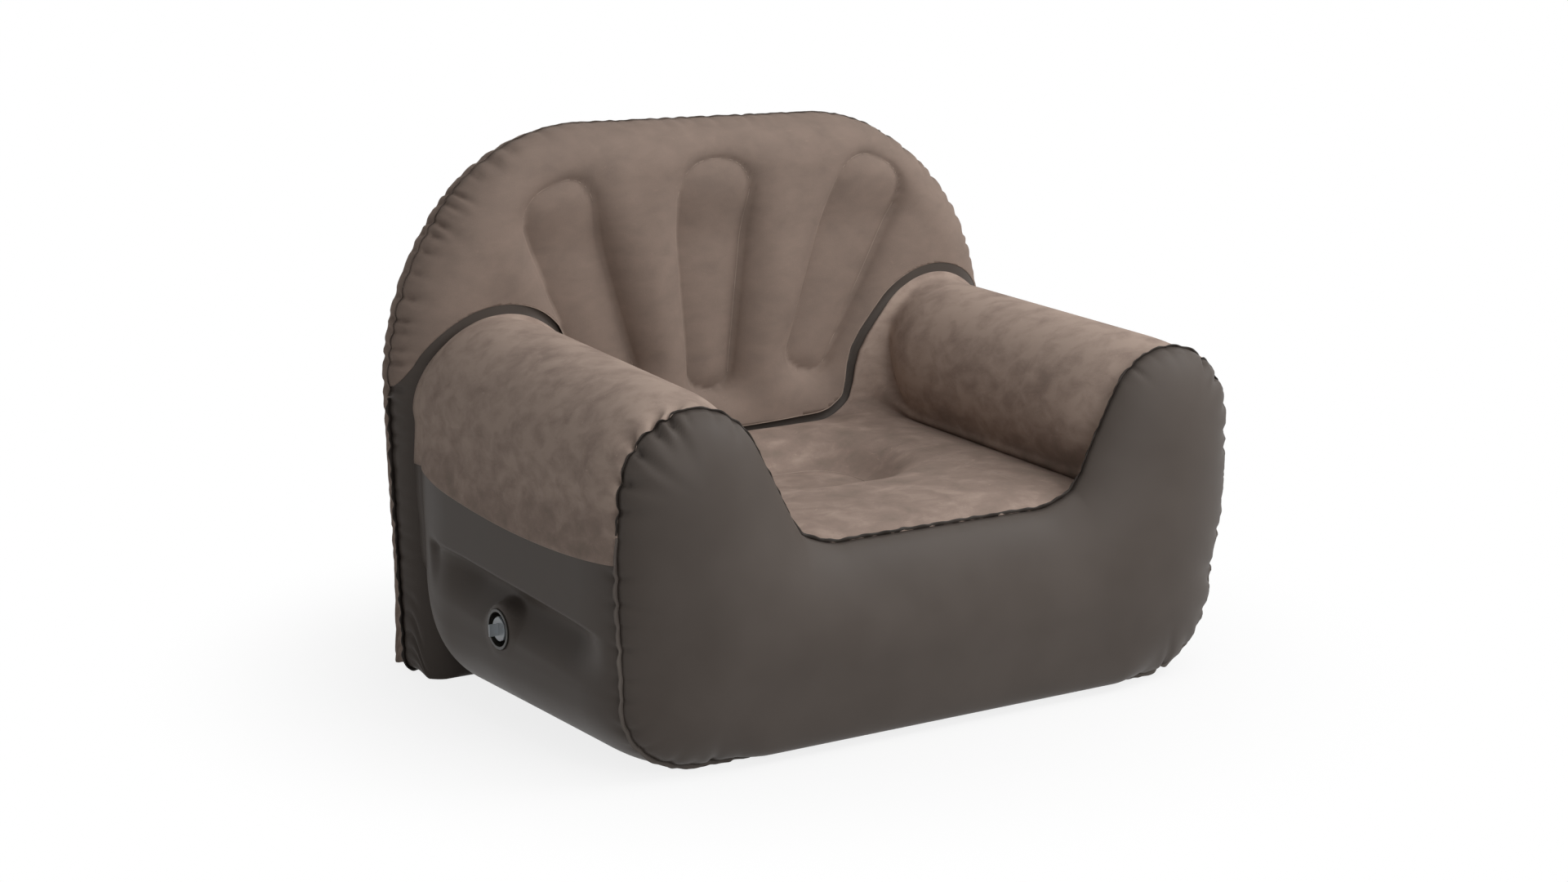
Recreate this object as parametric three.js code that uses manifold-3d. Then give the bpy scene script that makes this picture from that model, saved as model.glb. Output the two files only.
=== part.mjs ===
// Inflatable one-seat armchair with a flocked seat, arms and backrest, in millimetres, +Z up.
// The front faces -Y and the sitter's right is -X. The origin lies on the floor, under the middle.
// Every panel is a thin welded sheet. A base air cell carries the seat and the arms, and its sheets
// end on the front sheet of the backrest air cell. Inner beams and sleeves hold the sheets in shape.
import * as THREE from "three";
import { mergeVertices } from "three/addons/utils/BufferGeometryUtils.js";
import Module from "manifold-3d";

const wasm = await Module();
wasm.setup();

// Sheets and welds
const SHEET = 0.5; // plain PVC sheet
const FLOCKED_SHEET = 1; // PVC sheet with its flock
const GAP = 0.3; // between sheets that are welded or pieces that touch
const WELD_FIN = 6; // welded edge that stands out from a seam
const LAP = 12; // overlap where two sheets are welded one over the other
const CUT_OVERRUN = 60; // how far a cutting body runs past what it cuts

const HALF_WIDTH = 530; // the base air cell at its widest, from the middle

// Depths of the seams, along Y
const FRONT_SEAM_Y = -365;
const REAR_SEAM_Y = 194;
const BACK_SEAM_Y = 260;

// Cross-sections of the base air cell, right half as seen from the front, at its four stations.
// Insets are measured inwards from the widest half width, and armClear from there to the arm's round.
const FRONT_SEAM = {
  seatZ: 280, ridgeInset: 352, ridgeZ: 280, slopeSag: -4, creaseInset: 294, creaseZ: 303,
  wallBulge: 0, armClear: 12, armZ: 378, armRadius: 112, armIn: 150, armOut: -6,
  sideInset: 10, flockEdgeZ: 296, grooveInset: 11, grooveZ: 195, grooveWidth: 30,
  lowerInset: 18, cornerTopZ: 120, baseInset: 122, bottomZ: 7,
};
const BODY_FRONT = {
  seatZ: 300, ridgeInset: 334, ridgeZ: 299, slopeSag: 5, creaseInset: 215, creaseZ: 284,
  wallBulge: 5, armClear: 1, armZ: 384, armRadius: 121, armIn: 212, armOut: -12,
  sideInset: 0, flockEdgeZ: 297, grooveInset: 15, grooveZ: 196, grooveWidth: 30,
  lowerInset: 1, cornerTopZ: 105, baseInset: 134, bottomZ: SHEET,
};
const BODY_REAR = {
  seatZ: 326, ridgeInset: 330, ridgeZ: 320, slopeSag: 5, creaseInset: 222, creaseZ: 315,
  wallBulge: 5, armClear: 7, armZ: 412, armRadius: 121, armIn: 212, armOut: -12,
  sideInset: 2, flockEdgeZ: 324, grooveInset: 18, grooveZ: 233, grooveWidth: 30,
  lowerInset: 3, cornerTopZ: 105, baseInset: 134, bottomZ: SHEET,
};
const REAR_SEAM = {
  seatZ: 309, ridgeInset: 340, ridgeZ: 311, slopeSag: -4, creaseInset: 262, creaseZ: 330,
  wallBulge: 0, armClear: 20, armZ: 418, armRadius: 113, armIn: 155, armOut: -6,
  sideInset: 19, flockEdgeZ: 326, grooveInset: 24, grooveZ: 236, grooveWidth: 30,
  lowerInset: 23, cornerTopZ: 200, baseInset: 115, bottomZ: 110,
};
const FRONT_ROLL = 88; // depth over which the front seam section swells to the body section
const REAR_ROLL = 104;
const ROLL_POWER = 0.62;
const FLOCK_SAG = 17; // the flocked sheet's lower edge hangs by this much midway along the arm
const rollShares = [0.14, 0.42];

// How the half section is divided into stations
const seatShares = [0, 0.27, 0.52, 0.77, 1];
const wallShares = [0.5];
const ARM_STEPS = 7;
const CORNER_STEPS = 4;
const baseShares = [0.8, 0.4, 0];

// Welded island in the middle of the seat
const SEAT_ISLAND = { y: -26, halfLength: 104, halfWidth: 72, depth: 46, spread: 50, crown: 8 };

// Front panel
const FRONT_BULGE = 64; // at a point with FRONT_REACH of free sheet round it
const FRONT_REACH = 100;
const FRONT_POWER = 0.6;

// Backrest outline: straight top, elliptic shoulders, slightly tapering sides, round lower corners
const BACK_TOP_Z = 788;
const BACK_SHOULDER_Z = 425;
const BACK_INSET = { top: 325, shoulder: 3, foot: 14 }; // inwards from the widest half width
const BACK_TOP_HALF = HALF_WIDTH - BACK_INSET.top;
const BACK_SHOULDER_X = HALF_WIDTH - BACK_INSET.shoulder;
const BACK_FOOT_X = HALF_WIDTH - BACK_INSET.foot;
const BACK_FOOT_RADIUS = 34;
const BACK_LIFT = 0.8; // under the weld fin at the backrest's foot
const BACK_BOTTOM_Z = WELD_FIN + BACK_LIFT;
const BACK_FRONT_BULGE = BACK_SEAM_Y - REAR_SEAM_Y;
const BACK_REAR_BULGE = 92;
const BACK_EDGE_ROLL = 72; // sheet that the round edge of the backrest takes up
const BACK_REAR_ROLL = 105;
const STRIP_WIDTH = 15; // dark sheet left bare between the arms and the flocked sheet
const FLOCK_CORNER_Z = 418; // where the flocked sheet's lower edge meets the perimeter

// Welded islands in the backrest, a middle one and two that lean outwards
const BACK_ISLANDS = {
  middleLow: { x: 0, z: 420, radius: 37 }, middleHigh: { x: 0, z: 673, radius: 60 },
  sideLow: { x: 185, z: 432, radius: 40 }, sideHigh: { x: 278, z: 655, radius: 58 },
};
const ISLAND_DEPTH = 27;
const ISLAND_SPREAD = 20;
const ISLAND_CROWN = 7;
const SLEEVE_STEPS = 24;

// How the backrest sheets are divided. Columns fan out so that they follow the islands.
const PATCH_CORNER_ANGLE = 35; // on the shoulder's ellipse, where the top edge ends
const STRIP_ARM_STEPS = 5; // stations of the arm that the strip follows
const FOOT_STEPS = 3;
const FAN_Z = 352; // level where the columns start to lean
const fanShares = [0, 0.057, 0.13, 0.217, 0.288, 0.358, 0.46, 0.58, 0.7, 0.81, 0.9, 0.965, 1];
const topShares = [0, 0.132, 0.31, 0.487, 0.63, 0.794, 0.84, 0.875, 0.905, 0.935, 0.96, 0.985, 1];
const lowerRowShares = [0, 0.05, 0.16, 0.42, 0.7, 1];
const upperRowShares = [0, 0.072, 0.157, 0.29, 0.43, 0.57, 0.7, 0.8, 0.882, 0.955, 1];

// Air ports in the wall between the two air cells
const PORT = { x: 260, z: 205, radius: 22, segments: 24 };

// Inflation valve in the lower side panel on the sitter's right
const VALVE_Y = -60;
const VALVE_Z = 143;
const VALVE = {
  faceInset: 1, flatHalf: 34, discRadius: 33, discThick: 1.2, lipRadius: 28.5, lipHeight: 2.4,
  wellRadius: 24.5, wellDepth: 15, wall: 1.6, neckRadius: 13.6, neckDepth: 10, segments: 32,
};
const VALVE_FACE_X = HALF_WIDTH - VALVE.faceInset;
const SEAL = { thick: 1.4, width: 3 };
const INSERT = {
  shoulderRadius: 17.4, shoulderThick: 2.2, stemRise: 9, boreRadius: 10.2, innerReach: 2,
  grips: 3, gripThick: 2.2, gripRise: 6.4, earWidth: 7, earThick: 1.8,
};
const CAP = {
  radius: 16.8, thick: 2, skirtDepth: 3.4, skirtWall: 1.6, skirtClearance: 0.7,
  tabLength: 15, tabHeight: 17, tabThick: 2.4,
};
const FLAP = { radius: 11.2, thick: 0.8 };

const D2R = Math.PI / 180;
const lerp = (a, b, t) => a + (b - a) * t;
const vec = (x, y, z) => new THREE.Vector3(x, y, z);

// A profile's numbers part of the way from one station to the next
function between(a, b, t) {
  const made = {};
  for (const key of Object.keys(a)) made[key] = lerp(a[key], b[key], t);
  return made;
}

// Half section of the base air cell, from the middle of the seat over the arm to the middle of the
// base, as points {x, z}. Every section has the same stations, so sections can be blended.
function halfSection(p) {
  const [ridgeX, creaseX, sideX, grooveX, lowerX, baseHalf] = [p.ridgeInset, p.creaseInset,
    p.sideInset, p.grooveInset, p.lowerInset, p.baseInset].map((n) => HALF_WIDTH - n);
  const armX = HALF_WIDTH - p.armClear - p.armRadius;
  const points = [];
  for (const s of seatShares) points.push({ x: ridgeX * s, z: lerp(p.seatZ, p.ridgeZ, s * s) });
  points.push({ x: (ridgeX + creaseX) / 2, z: (p.ridgeZ + p.creaseZ) / 2 + p.slopeSag });
  points.push({ x: creaseX, z: p.creaseZ });
  const arm = (angle) => ({
    x: armX + p.armRadius * Math.cos(angle * D2R),
    z: p.armZ + p.armRadius * Math.sin(angle * D2R),
  });
  const start = arm(p.armIn);
  for (const s of wallShares)
    points.push({ x: lerp(creaseX, start.x, s) - p.wallBulge, z: lerp(p.creaseZ, start.z, s) });
  for (let k = 0; k <= ARM_STEPS; k++) points.push(arm(lerp(p.armIn, p.armOut, k / ARM_STEPS)));
  points.push({ x: sideX, z: p.flockEdgeZ + LAP });
  points.push({ x: sideX, z: p.flockEdgeZ });
  const grooveHigh = p.grooveZ + p.grooveWidth / 2;
  const grooveLow = p.grooveZ - p.grooveWidth / 2;
  points.push({ x: lerp(grooveX, sideX, 2 / 3), z: grooveHigh });
  points.push({ x: grooveX, z: p.grooveZ });
  points.push({ x: lerp(grooveX, lowerX, 2 / 3), z: grooveLow });
  for (const side of [1, 0, -1]) {
    const share = (VALVE_Z + side * VALVE.flatHalf - BODY_FRONT.cornerTopZ) /
      (BODY_FRONT.grooveZ - BODY_FRONT.grooveWidth / 2 - BODY_FRONT.cornerTopZ);
    points.push({ x: lowerX, z: lerp(p.cornerTopZ, grooveLow, share) });
  }
  for (let k = 1; k <= CORNER_STEPS; k++) {
    const angle = (k / CORNER_STEPS) * Math.PI / 2;
    points.push({
      x: baseHalf + (lowerX - baseHalf) * Math.cos(angle),
      z: p.bottomZ + (p.cornerTopZ - p.bottomZ) * (1 - Math.sin(angle)),
    });
  }
  for (const s of baseShares) points.push({ x: baseHalf * s, z: p.bottomZ });
  return points;
}

// Station numbers along the half section
const CREASE = seatShares.length + 1;
const ARM_START = CREASE + wallShares.length + 1;
const ARM_END = ARM_START + ARM_STEPS;
const LAP_STATION = ARM_END + 1;
const FLOCK_EDGE = LAP_STATION + 1;
const GROOVE = FLOCK_EDGE + 2;
const VALVE_STATION = GROOVE + 3;
const CORNER_TOP = VALVE_STATION + 1;
const BASE_START = CORNER_TOP + CORNER_STEPS;
const BASE_LAP = BASE_START + 1;
const HALF = BASE_START + baseShares.length; // station at the middle of the base
const ROUND = 2 * HALF; // stations all the way round

// A whole section, closed: stations 0 to HALF lie at +X, and the rest mirror them at -X
function wholeSection(half) {
  const points = half.slice();
  for (let k = HALF - 1; k > 0; k--) points.push({ x: -half[k].x, z: half[k].z });
  return points;
}

// Share of the body section at a depth, with the seam sections at both ends
function bodyShare(y) {
  const front = Math.min(1, Math.max(0, (y - FRONT_SEAM_Y) / FRONT_ROLL));
  const rear = Math.min(1, Math.max(0, (REAR_SEAM_Y - y) / REAR_ROLL));
  const swell = (u) => (1 - (1 - u) * (1 - u)) ** ROLL_POWER;
  return Math.min(swell(front), swell(rear));
}

// Drop of the seat round its welded island, and the low crown inside it
function seatDrop(x, y) {
  const i = SEAT_ISLAND;
  const straight = i.halfLength - i.halfWidth;
  const away = Math.hypot(Math.max(Math.abs(x) - straight, 0), y - i.y) - i.halfWidth;
  if (away < 0) return i.depth - i.crown * (1 - (1 + away / i.halfWidth) ** 2);
  return i.depth * Math.exp(-((away / i.spread) ** 2));
}

const depthLow = FRONT_SEAM_Y + FRONT_ROLL;
const depthHigh = REAR_SEAM_Y - REAR_ROLL;
const rows = [
  FRONT_SEAM_Y,
  ...rollShares.map((s) => FRONT_SEAM_Y + s * FRONT_ROLL),
  depthLow,
  (depthLow + SEAT_ISLAND.y - SEAT_ISLAND.halfWidth) / 2,
  SEAT_ISLAND.y - SEAT_ISLAND.halfWidth - SEAT_ISLAND.spread,
  VALVE_Y - VALVE.flatHalf,
  VALVE_Y,
  VALVE_Y + VALVE.flatHalf,
  SEAT_ISLAND.y + SEAT_ISLAND.halfWidth,
  depthHigh,
  REAR_SEAM_Y - rollShares[1] * REAR_ROLL,
  REAR_SEAM_Y,
  BACK_SEAM_Y,
];

const frontSection = wholeSection(halfSection(FRONT_SEAM));
const rearSection = wholeSection(halfSection(REAR_SEAM));

// A section of the base air cell at a depth, as a closed ring of points
function sectionAt(y) {
  const along = (y - FRONT_SEAM_Y) / (REAR_SEAM_Y - FRONT_SEAM_Y);
  const body = wholeSection(halfSection(between(BODY_FRONT, BODY_REAR, Math.min(1, along))));
  const seam = along < 1 / 2 ? frontSection : rearSection;
  const share = y >= REAR_SEAM_Y ? 0 : bodyShare(y);
  const hang = along < 1 ? FLOCK_SAG * 4 * along * (1 - along) : 0;
  return body.map((b, k) => {
    const station = Math.min(k, ROUND - k);
    const x = lerp(seam[k].x, b.x, share);
    let z = lerp(seam[k].z, b.z, share);
    if (station <= CREASE) z -= seatDrop(x, y) * share;
    if (station === LAP_STATION || station === FLOCK_EDGE) z -= hang;
    return vec(x, y, z);
  });
}

// Outward directions of a closed ring of points in the XZ plane
function ringNormals(ring) {
  return ring.map((p, k) => {
    const before = ring[(k + ring.length - 1) % ring.length];
    const after = ring[(k + 1) % ring.length];
    const dx = after.x - before.x;
    const dz = after.z - before.z;
    const length = Math.hypot(dx, dz);
    return { x: -dz / length, z: dx / length };
  });
}

// Surfaces are {points, faces}, with faces turned outwards. The diagonal of a four-sided face is its
// shorter one.
function addQuad(surface, a, b, c, d) {
  const p = surface.points;
  if (p[a].distanceTo(p[c]) <= p[b].distanceTo(p[d])) surface.faces.push([a, b, c], [a, c, d]);
  else surface.faces.push([a, b, d], [b, c, d]);
}

// Smooth outward directions at the points of a surface
function pointNormals(surface) {
  const normals = surface.points.map(() => vec(0, 0, 0));
  const e1 = vec(0, 0, 0);
  const e2 = vec(0, 0, 0);
  for (const [a, b, c] of surface.faces) {
    e1.subVectors(surface.points[b], surface.points[a]);
    e2.subVectors(surface.points[c], surface.points[a]);
    e1.cross(e2);
    for (const k of [a, b, c]) normals[k].add(e1);
  }
  return normals.map((n) => n.normalize());
}

// Closed body between two offsets of some faces of a surface, walled at their free edges
function sheetBody(surface, normals, faces, inside, outside) {
  const used = new Map();
  for (const face of faces) for (const k of face) if (!used.has(k)) used.set(k, used.size);
  const position = [];
  for (const offset of [inside, outside])
    for (const k of used.keys()) {
      const p = surface.points[k];
      const n = normals[k];
      position.push(p.x + n.x * offset, p.y + n.y * offset, p.z + n.z * offset);
    }
  const count = used.size;
  const index = [];
  const edges = new Set(faces.flatMap(([a, b, c]) => [`${a},${b}`, `${b},${c}`, `${c},${a}`]));
  for (const [a, b, c] of faces) {
    const [i, j, k] = [used.get(a), used.get(b), used.get(c)];
    index.push(count + i, count + j, count + k, k, j, i);
    for (const [from, to] of [[a, b], [b, c], [c, a]]) {
      if (edges.has(`${to},${from}`)) continue;
      const [f, t] = [used.get(from), used.get(to)];
      index.push(f, t, count + t, f, count + t, count + f);
    }
  }
  const geometry = new THREE.BufferGeometry();
  geometry.setAttribute("position", new THREE.Float32BufferAttribute(position, 3));
  geometry.setIndex(index);
  return geometry;
}

// Closed geometry to a solid for joins and cuts, and back
function solidOf(geometry) {
  const bare = geometry.clone();
  for (const name of ["normal", "uv"]) bare.deleteAttribute(name);
  const merged = mergeVertices(bare, 1e-4);
  return new wasm.Manifold(new wasm.Mesh({
    numProp: 3,
    vertProperties: new Float32Array(merged.attributes.position.array),
    triVerts: new Uint32Array(merged.index.array),
  }));
}
function geometryOf(solid) {
  const mesh = solid.getMesh();
  const geometry = new THREE.BufferGeometry();
  geometry.setAttribute("position", new THREE.BufferAttribute(mesh.vertProperties, 3));
  geometry.setIndex(new THREE.BufferAttribute(mesh.triVerts, 1));
  return geometry;
}

// Body that runs from a surface straight along a direction, for trimming what would cross it. The
// direction leaves the surface on its outer side or, where inward is true, on its inner side.
function trimBody(surface, normals, faces, offset, run, inward = false) {
  const start = {
    points: surface.points.map((p, k) => p.clone().addScaledVector(normals[k], offset)),
  };
  const direction = start.points.map(() => run);
  return solidOf(sheetBody(start, direction, faces, inward ? 1 : 0, inward ? 0 : 1));
}

// Finishes
const materials = {
  flock: new THREE.MeshStandardMaterial({ color: "#7a6a60", roughness: 0.95, metalness: 0 }),
  sheet: new THREE.MeshStandardMaterial({ color: "#4a4540", roughness: 0.5, metalness: 0 }),
  inner: new THREE.MeshStandardMaterial({ color: "#57524c", roughness: 0.55, metalness: 0 }),
  socket: new THREE.MeshStandardMaterial({ color: "#2b2927", roughness: 0.45, metalness: 0 }),
  clear: new THREE.MeshStandardMaterial({ color: "#a9adb0", roughness: 0.3, metalness: 0 }),
  seal: new THREE.MeshStandardMaterial({ color: "#d8d6cf", roughness: 0.6, metalness: 0 }),
};

const chair = new THREE.Group();
function add(name, geometry, material, parent = chair) {
  const mesh = new THREE.Mesh(geometry, material);
  mesh.name = name;
  parent.add(mesh);
  return mesh;
}

// Base air cell: one wrapped surface with its front weld fin, cut into panels
const wrap = { points: [], faces: [] };
const wrapRings = rows.map(sectionAt);
{
  const flat = VALVE.flatHalf;
  const valveRow = rows.indexOf(VALVE_Y);
  for (const across of [-1, 0, 1])
    for (const up of [-1, 0, 1]) {
      const point = wrapRings[valveRow + across][ROUND - VALVE_STATION + up];
      point.set(-VALVE_FACE_X, VALVE_Y + across * flat, VALVE_Z + up * flat);
    }
}
const frontNormals = ringNormals(frontSection);
const finRing = frontSection.map((p, k) =>
  vec(p.x + frontNormals[k].x * WELD_FIN, FRONT_SEAM_Y, p.z + frontNormals[k].z * WELD_FIN));
const allRings = [finRing, ...wrapRings];
for (const ring of allRings) wrap.points.push(...ring);
const wrapFaces = []; // faces of each strip of stations
for (let k = 0; k < ROUND; k++) {
  const next = (k + 1) % ROUND;
  const first = wrap.faces.length;
  for (let j = 0; j + 1 < allRings.length; j++)
    addQuad(wrap, j * ROUND + k, j * ROUND + next, (j + 1) * ROUND + next, (j + 1) * ROUND + k);
  wrapFaces.push(wrap.faces.slice(first));
}
const wrapNormals = pointNormals(wrap);
const stripsBetween = (from, to) => {
  const faces = [];
  for (let k = from; k < to; k++) faces.push(...wrapFaces[(k + ROUND) % ROUND]);
  return faces;
};

const evenShares = (count) => Array.from({ length: count + 1 }, (_, k) => k / count);

// Patch of points between four edges, with the same count along facing edges
function patch(bottom, top, left, right, rowShares) {
  const n = bottom.length - 1;
  const m = left.length - 1;
  const made = [];
  for (let j = 0; j <= m; j++) {
    const v = rowShares[j];
    const row = [];
    for (let i = 0; i <= n; i++) {
      const u = i / n;
      const point = {};
      for (const axis of ["x", "z"]) {
        const across = lerp(left[j][axis], right[j][axis], u);
        const upward = lerp(bottom[i][axis], top[i][axis], v);
        const corners = lerp(
          lerp(bottom[0][axis], bottom[n][axis], u), lerp(top[0][axis], top[n][axis], u), v);
        point[axis] = across + upward - corners;
      }
      row.push(point);
    }
    made.push(row);
  }
  return made;
}

// Closed ring of a grid's edge points, counter-clockwise as seen from the front
function gridEdge(count, m) {
  const ring = [];
  for (let i = 0; i < count; i++) ring.push(i);
  for (let j = 1; j <= m; j++) ring.push(j * count + count - 1);
  for (let i = count - 2; i >= 0; i--) ring.push(m * count + i);
  for (let j = m - 1; j > 0; j--) ring.push(j * count);
  return ring;
}

// Surface over a grid of points, with a flat weld fin all round it
function finnedGrid(grid, seamY, height) {
  const count = grid[0].length;
  const m = grid.length - 1;
  const flat = grid.flat();
  const edge = gridEdge(count, m);
  const onEdge = new Set(edge);
  const surface = { points: [], faces: [] };
  flat.forEach((p, k) => {
    surface.points.push(vec(p.x, seamY + (onEdge.has(k) ? 0 : height(p.x, p.z)), p.z));
  });
  for (let j = 0; j < m; j++)
    for (let i = 0; i + 1 < count; i++) {
      const a = j * count + i;
      addQuad(surface, a, a + 1, a + count + 1, a + count);
    }
  const ring = edge.map((k) => flat[k]);
  const out = ringNormals(ring);
  const tip = surface.points.length;
  ring.forEach((p, k) => {
    surface.points.push(vec(p.x - out[k].x * WELD_FIN, seamY, p.z - out[k].z * WELD_FIN));
  });
  edge.forEach((k, n) => {
    const next = (n + 1) % edge.length;
    addQuad(surface, tip + n, tip + next, edge[next], k);
  });
  return surface;
}

// Free distance at a point inside a ring: the distance to a long straight edge, and less where
// edges lie all round
function freeReach(x, z, ring) {
  let sum = 0;
  ring.forEach((a, k) => {
    const b = ring[(k + 1) % ring.length];
    const length = Math.hypot(b.x - a.x, b.z - a.z);
    const ux = (b.x - a.x) / length;
    const uz = (b.z - a.z) / length;
    const start = (a.x - x) * ux + (a.z - z) * uz;
    const end = start + length;
    const h = Math.max(Math.abs((a.x - x) * uz - (a.z - z) * ux), GAP / 100);
    sum += (end / Math.hypot(h, end) - start / Math.hypot(h, start)) / (h * h);
  });
  return Math.sqrt(2 / sum);
}

// Distance from a point to the nearest edge of a ring
function edgeDistance(x, z, ring) {
  let least = Infinity;
  ring.forEach((a, k) => {
    const b = ring[(k + 1) % ring.length];
    const dx = b.x - a.x;
    const dz = b.z - a.z;
    const t = Math.min(1, Math.max(0, ((x - a.x) * dx + (z - a.z) * dz) / (dx * dx + dz * dz)));
    least = Math.min(least, Math.hypot(x - a.x - t * dx, z - a.z - t * dz));
  });
  return least;
}

// Seat and arms, the two sides and the base, cut from the wrapped surface and ended on the backrest
const wrapPanels = {
  seat_arm_flock_panel: [stripsBetween(-FLOCK_EDGE, FLOCK_EDGE), 0, FLOCKED_SHEET, "flock"],
  left_side_panel: [stripsBetween(LAP_STATION, BASE_LAP), -GAP - SHEET, -GAP, "sheet"],
  right_side_panel: [stripsBetween(ROUND - BASE_LAP, ROUND - LAP_STATION), -GAP - SHEET, -GAP, "sheet"],
  base_panel: [stripsBetween(BASE_START, ROUND - BASE_START), 0, SHEET, "sheet"],
};

// Front panel: the wrapped surface's front ring, filled and bulged
const ARM_SHOULDER = ARM_END - 2;
const frontRing = wrapRings[0];
const at = (ring, k) => ring[(k + ROUND) % ROUND];
const frontTop = [];
for (let k = -ARM_SHOULDER; k <= ARM_SHOULDER; k++) frontTop.push(at(frontRing, k));
const frontRight = [];
for (let k = CORNER_TOP; k >= ARM_SHOULDER; k--) frontRight.push(at(frontRing, k));
const frontLeft = frontRight.map((p) => ({ x: -p.x, z: p.z }));
const frontBottomHalf = [];
for (let k = CORNER_TOP; k <= BASE_START; k++) frontBottomHalf.push(at(frontRing, k));
const straightTop = at(frontRing, ARM_SHOULDER - CORNER_STEPS).x;
for (let k = ARM_SHOULDER - CORNER_STEPS - 1; k >= 0; k--)
  frontBottomHalf.push({
    x: at(frontRing, BASE_START).x * at(frontRing, k).x / straightTop, z: FRONT_SEAM.bottomZ,
  });
const frontBottom = [
  ...frontBottomHalf.map((p) => ({ x: -p.x, z: p.z })),
  ...frontBottomHalf.slice(0, -1).reverse(),
];
const frontGrid = patch(
  frontBottom, frontTop, frontLeft, frontRight, evenShares(CORNER_TOP - ARM_SHOULDER));
const frontEdge = gridEdge(frontGrid[0].length, frontGrid.length - 1).map((k) => frontGrid.flat()[k]);
const front = finnedGrid(frontGrid, FRONT_SEAM_Y - SHEET - 2 * GAP, (x, z) =>
  -FRONT_BULGE * (freeReach(x, z, frontEdge) / FRONT_REACH) ** FRONT_POWER);
add("front_panel",
  sheetBody(front, pointNormals(front), front.faces, 0, SHEET),
  materials.sheet);

// Points picked along a line at shares of its length, or at the same places of a line beside it
function pick(line, shares, beside = line) {
  const lengths = [0];
  for (let k = 1; k < line.length; k++)
    lengths.push(lengths[k - 1] + Math.hypot(line[k].x - line[k - 1].x, line[k].z - line[k - 1].z));
  const total = lengths[lengths.length - 1];
  return shares.map((share) => {
    const target = share * total;
    let k = 1;
    while (k < line.length - 1 && lengths[k] < target) k++;
    const t = (target - lengths[k - 1]) / (lengths[k] - lengths[k - 1]);
    return {
      x: lerp(beside[k - 1].x, beside[k].x, t), z: lerp(beside[k - 1].z, beside[k].z, t),
    };
  });
}
const mirrored = (half) => [...half.slice(1).reverse().map((p) => ({ x: -p.x, z: p.z })), ...half];

// Backrest perimeter, right half
const shoulderPoint = (angle) => ({
  x: BACK_TOP_HALF + (BACK_SHOULDER_X - BACK_TOP_HALF) * Math.cos(angle * D2R),
  z: BACK_SHOULDER_Z + (BACK_TOP_Z - BACK_SHOULDER_Z) * Math.sin(angle * D2R),
});
const sideX = (z) => {
  const foot = BACK_BOTTOM_Z + BACK_FOOT_RADIUS;
  return lerp(BACK_FOOT_X, BACK_SHOULDER_X, (z - foot) / (BACK_SHOULDER_Z - foot));
};
const shoulderSide = [{ x: sideX(FAN_Z), z: FAN_Z }, { x: BACK_SHOULDER_X, z: BACK_SHOULDER_Z }];
for (let a = 1; a <= PATCH_CORNER_ANGLE; a++) shoulderSide.push(shoulderPoint(a));
const topLine = [{ x: 0, z: BACK_TOP_Z }];
for (let a = 90; a >= PATCH_CORNER_ANGLE; a--) topLine.push(shoulderPoint(a));
const steps = fanShares.length - 1;
const bottomHalf = evenShares(steps - FOOT_STEPS).map((s) => ({
  x: s * (BACK_FOOT_X - BACK_FOOT_RADIUS), z: BACK_BOTTOM_Z,
}));
for (let k = 1; k <= FOOT_STEPS; k++) {
  const angle = (k / FOOT_STEPS) * Math.PI / 2;
  bottomHalf.push({
    x: BACK_FOOT_X - BACK_FOOT_RADIUS * (1 - Math.sin(angle)),
    z: BACK_BOTTOM_Z + BACK_FOOT_RADIUS * (1 - Math.cos(angle)),
  });
}
const fanHalf = fanShares.map((s) => ({ x: s * sideX(FAN_Z), z: FAN_Z }));
const lowerSide = pick([bottomHalf[steps], fanHalf[steps]], lowerRowShares);
const upperSide = pick(shoulderSide, upperRowShares);
const flip = (line) => line.map((p) => ({ x: -p.x, z: p.z }));
const lowerGrid = patch(
  mirrored(bottomHalf), mirrored(fanHalf), flip(lowerSide), lowerSide, lowerRowShares);
const upperGrid = patch(
  mirrored(fanHalf), mirrored(pick(topLine, topShares)), flip(upperSide), upperSide, upperRowShares);
const backGrid = [...lowerGrid, ...upperGrid.slice(1)];
const backRing = gridEdge(backGrid[0].length, backGrid.length - 1).map((k) => backGrid.flat()[k]);

// Signed distance from a point in the XZ plane to an island's weld
function islandDistance(x, z, low, high, side) {
  const ax = side * low.x;
  const dx = side * (high.x - low.x);
  const dz = high.z - low.z;
  const along = ((x - ax) * dx + (z - low.z) * dz) / (dx * dx + dz * dz);
  const t = Math.min(1, Math.max(0, along));
  const radius = lerp(low.radius, high.radius, t);
  return { away: Math.hypot(x - ax - t * dx, z - low.z - t * dz) - radius, radius };
}
const islands = [
  { name: "backrest_middle_sleeve", low: BACK_ISLANDS.middleLow, high: BACK_ISLANDS.middleHigh, side: 1 },
  { name: "backrest_left_sleeve", low: BACK_ISLANDS.sideLow, high: BACK_ISLANDS.sideHigh, side: 1 },
  { name: "backrest_right_sleeve", low: BACK_ISLANDS.sideLow, high: BACK_ISLANDS.sideHigh, side: -1 },
];
function islandDip(x, z) {
  let dip = 0;
  for (const { low, high, side } of islands) {
    const { away, radius } = islandDistance(x, z, low, high, side);
    const here = away > 0
      ? ISLAND_DEPTH * Math.exp(-((away / ISLAND_SPREAD) ** 2))
      : ISLAND_DEPTH - ISLAND_CROWN * (1 - (1 + away / radius) ** 2);
    dip = Math.max(dip, here);
  }
  return dip;
}
const roundEdge = (distance, reach) => {
  const u = 1 - Math.min(1, distance / reach);
  return Math.sqrt(1 - u * u);
};
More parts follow.
